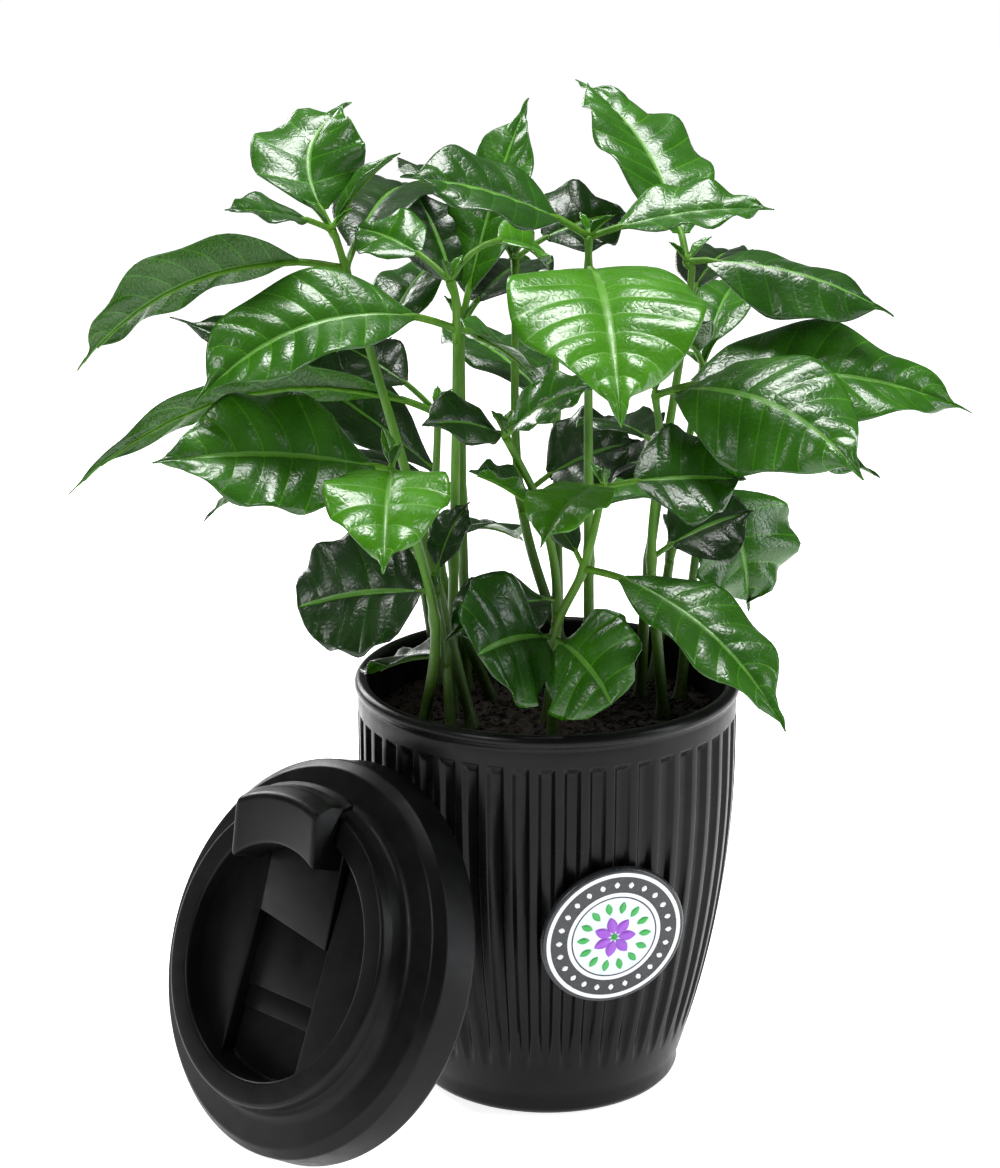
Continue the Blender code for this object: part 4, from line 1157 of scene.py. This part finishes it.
def petiole(leaf, base):
    """The leaf's stalk, which runs on as a ridge under the midrib."""
    line, right, normal, share = leaf_line(leaf, base, 40)
    start = leaf.petiole / leaf.reach
    size = min(1.0, 0.55 + leaf.reach / 160)
    points, radii = [], []
    for step in list(np.linspace(0, start, 5)) + list(np.linspace(start, 0.9, 9))[1:]:
        middle = grid_read(np.array([step]), share, line)[0]
        up = grid_read(np.array([step]), share, normal)[0]
        side = grid_read(np.array([step]), share, right)[0]
        roll = math.radians(leaf.roll) * min(1, step / 0.25)
        above = side * math.sin(roll) + up * math.cos(roll)
        on_blade = max(0.0, (step - start) / (1 - start))
        radius = size * (1.05 * (1 - on_blade) ** 0.8 + 0.12) * (1.25 if step == 0 else 1)
        sunk = min(1.0, on_blade / 0.08)
        points.append(middle - above * sunk * (0.25 + 0.028 * leaf.width + 0.25 * radius))
        radii.append(radius * (1 - 0.3 * sunk))
    mesh = tube(points, radii, 7)
    mesh.materials.append(stem_green)
    return mesh


print("leaf rows between veins:", len(VEIN_PARTS), "columns:", 2 * len(OUTWARD))

# %% [markdown]
# ## Stems
# The stem tapers from the soil to its tip, flares where it leaves the soil, and swells at every
# joint. Its skin is green with fine lengthwise ribs, and turns brown and corky low down.

# %% Stem finish
stem_tree = Tree("stem_green")
stem_grain = stem_tree.noise(3, 5, (1, 1, 0.15))
stem_skin = stem_tree.tones(stem_grain, (0.048, 0.155, 0.003), (0.078, 0.215, 0.008))
stem_cork = stem_tree.tones(stem_tree.noise(1.2, 6), (0.012, 0.026, 0.005), (0.034, 0.048, 0.012))
stem_age = stem_tree.spread(stem_tree.height(), 0.0, 1.0, 0.125, 0.190)
stem_colour = stem_tree.mix(stem_age, stem_cork, stem_skin)
stem_bump = stem_tree.bump(stem_tree.noise(0.6, 4, (1, 1, 0.1)), 0.08)
stem_gloss = stem_tree.spread(stem_tree.noise(4), 0.38, 0.55)
stem_green = stem_tree.wire(stem_colour, stem_gloss, stem_bump, specular_ior_level=0.3)
STEM_ROOT_RADIUS, STEM_TIP_RADIUS = 1.9, 1.1
FLARE_RADIUS, FLARE_HEIGHT = 0.9, 6.0


def stem_radius(z, top, joints):
    rise = min(1.0, max(0.0, (z - SOIL_TOP) / (top - SOIL_TOP)))
    flare = FLARE_RADIUS * max(0.0, 1 - max(0.0, z - SOIL_TOP) / FLARE_HEIGHT) ** 2
    knot = max(math.exp(-(((z - joint) / 2.2) ** 2)) for joint in joints)
    return (STEM_ROOT_RADIUS + (STEM_TIP_RADIUS - STEM_ROOT_RADIUS) * rise) * (1 + 0.28 * knot) + flare


def stem_piece(path, low, high, plan, seed):
    """A stretch of stem between two heights, with ribs, as a tube."""
    joints = [p[2] for p in plan.path[1:]]
    points = [p for p in path if low < p.z < high]
    points = [path_at(path, low)] + points + [path_at(path, high)]
    radii = [stem_radius(p.z, plan.path[-1][2], joints) for p in points]

    def ribs(i, angle):
        return 0.035 * math.sin(5 * angle + 0.3 * i + seed) + 0.02 * math.sin(11 * angle - 0.5 * i)

    mesh = tube(points, radii, 16, ribs)
    mesh.materials.append(stem_green)
    return mesh


def path_at(path, z):
    for a, b in zip(path, path[1:]):
        if a.z <= z <= b.z:
            return a.lerp(b, (z - a.z) / (b.z - a.z))
    if z < path[0].z:
        return Vector((path[0].x, path[0].y, z))
    return path[-1].copy()


# %% [markdown]
# ## Growing the plant
# Each seedling becomes three pieces: its bare stem, its twigs (the leafy shoot, the leaf stalks
# and the bud), and its leaves. The rear seedlings follow a rule, and a leaf of theirs is kept
# only where the solid has one too, which the nearest point of the solid tells.

# %% Grow
SHOOT_START = 4.0
BUD_HEIGHT = 2.6


def has_solid(leaf, base, name):
    """Whether the seedling's solid holds a leaf like this one."""
    line, _, _, _ = leaf_line(leaf, base, 10)
    _, _, _, distance = SOLIDS[name].find_nearest(Vector(line[6]) * MM)
    return distance is not None and distance < 2.0 * MM


def solid_tree(name):
    solid = bpy.data.objects[name]
    shape = bmesh.new()
    shape.from_mesh(solid.data)
    shape.transform(solid.matrix_world)
    tree = BVHTree.FromBMesh(shape)
    shape.free()
    return tree


SOLIDS = {name: solid_tree("foliage_" + name) for name in BACK_SEEDLINGS}


def tip_leaves(plan, seed):
    """The pair of tiny new leaves at the top of a shoot, crossing the pair below it."""
    draw = random.Random(seed)
    last = [leaf for leaf in plan.leaves if leaf.joint == len(plan.path) - 1]
    first = (last[0].bearing if last else 0) + 90
    for half_turn in (0, 180):
        reach = draw.uniform(8, 14)
        yield Leaf(
            len(plan.path) - 1, first + half_turn + draw.uniform(-20, 20), draw.uniform(35, 65),
            reach, 0.36 * reach, 30, 0, 30, 2,
        )


seedlings = dict(SEEDLINGS)
seedlings.update((name, rear_seedling(back)) for name, back in BACK_SEEDLINGS.items())
leaf_total = 0
for number, (name, plan) in enumerate(seedlings.items()):
    path = smooth_path(plan.path, 12)
    top = plan.path[-1][2]
    lowest = min(plan.path[leaf.joint][2] for leaf in plan.leaves) - SHOOT_START
    stem = stem_piece(path, SOIL_TOP - 3.0, lowest + 0.3, plan, number)
    show("stem_" + name, stem, (), ("stem_" + name,))
    tip = path[-1] + (path[-1] - path[-3]).normalized() * BUD_HEIGHT
    twigs = [stem_piece(path, lowest - 0.3, top, plan, number)]
    twigs.append(tube([path[-1], path[-1].lerp(tip, 0.6), tip], [1.25, 1.0, 0.25], 8))
    twigs[-1].materials.append(stem_green)
    blades = []
    tones = LEAF_TONES[name].split()
    leaves = [(leaf, name not in BACK_SEEDLINGS) for leaf in plan.leaves]
    leaves += [(leaf, True) for leaf in tip_leaves(plan, number)]
    for index, (leaf, sure) in enumerate(leaves):
        base = plan.path[leaf.joint]
        if not sure and not has_solid(leaf, base, name):
            continue
        tone = tones[index % len(tones)] if index < len(plan.leaves) else "young"
        blades.append(leaf_blade(leaf, base, 100 * number + index, tone))
        twigs.append(petiole(leaf, base))
    show("twigs_" + name, joined(twigs), (), ("foliage_" + name,))
    show("leaves_" + name, joined(blades), (), ("foliage_" + name,))
    leaf_total += len(blades)
print(leaf_total, "leaves on", len(seedlings), "seedlings")
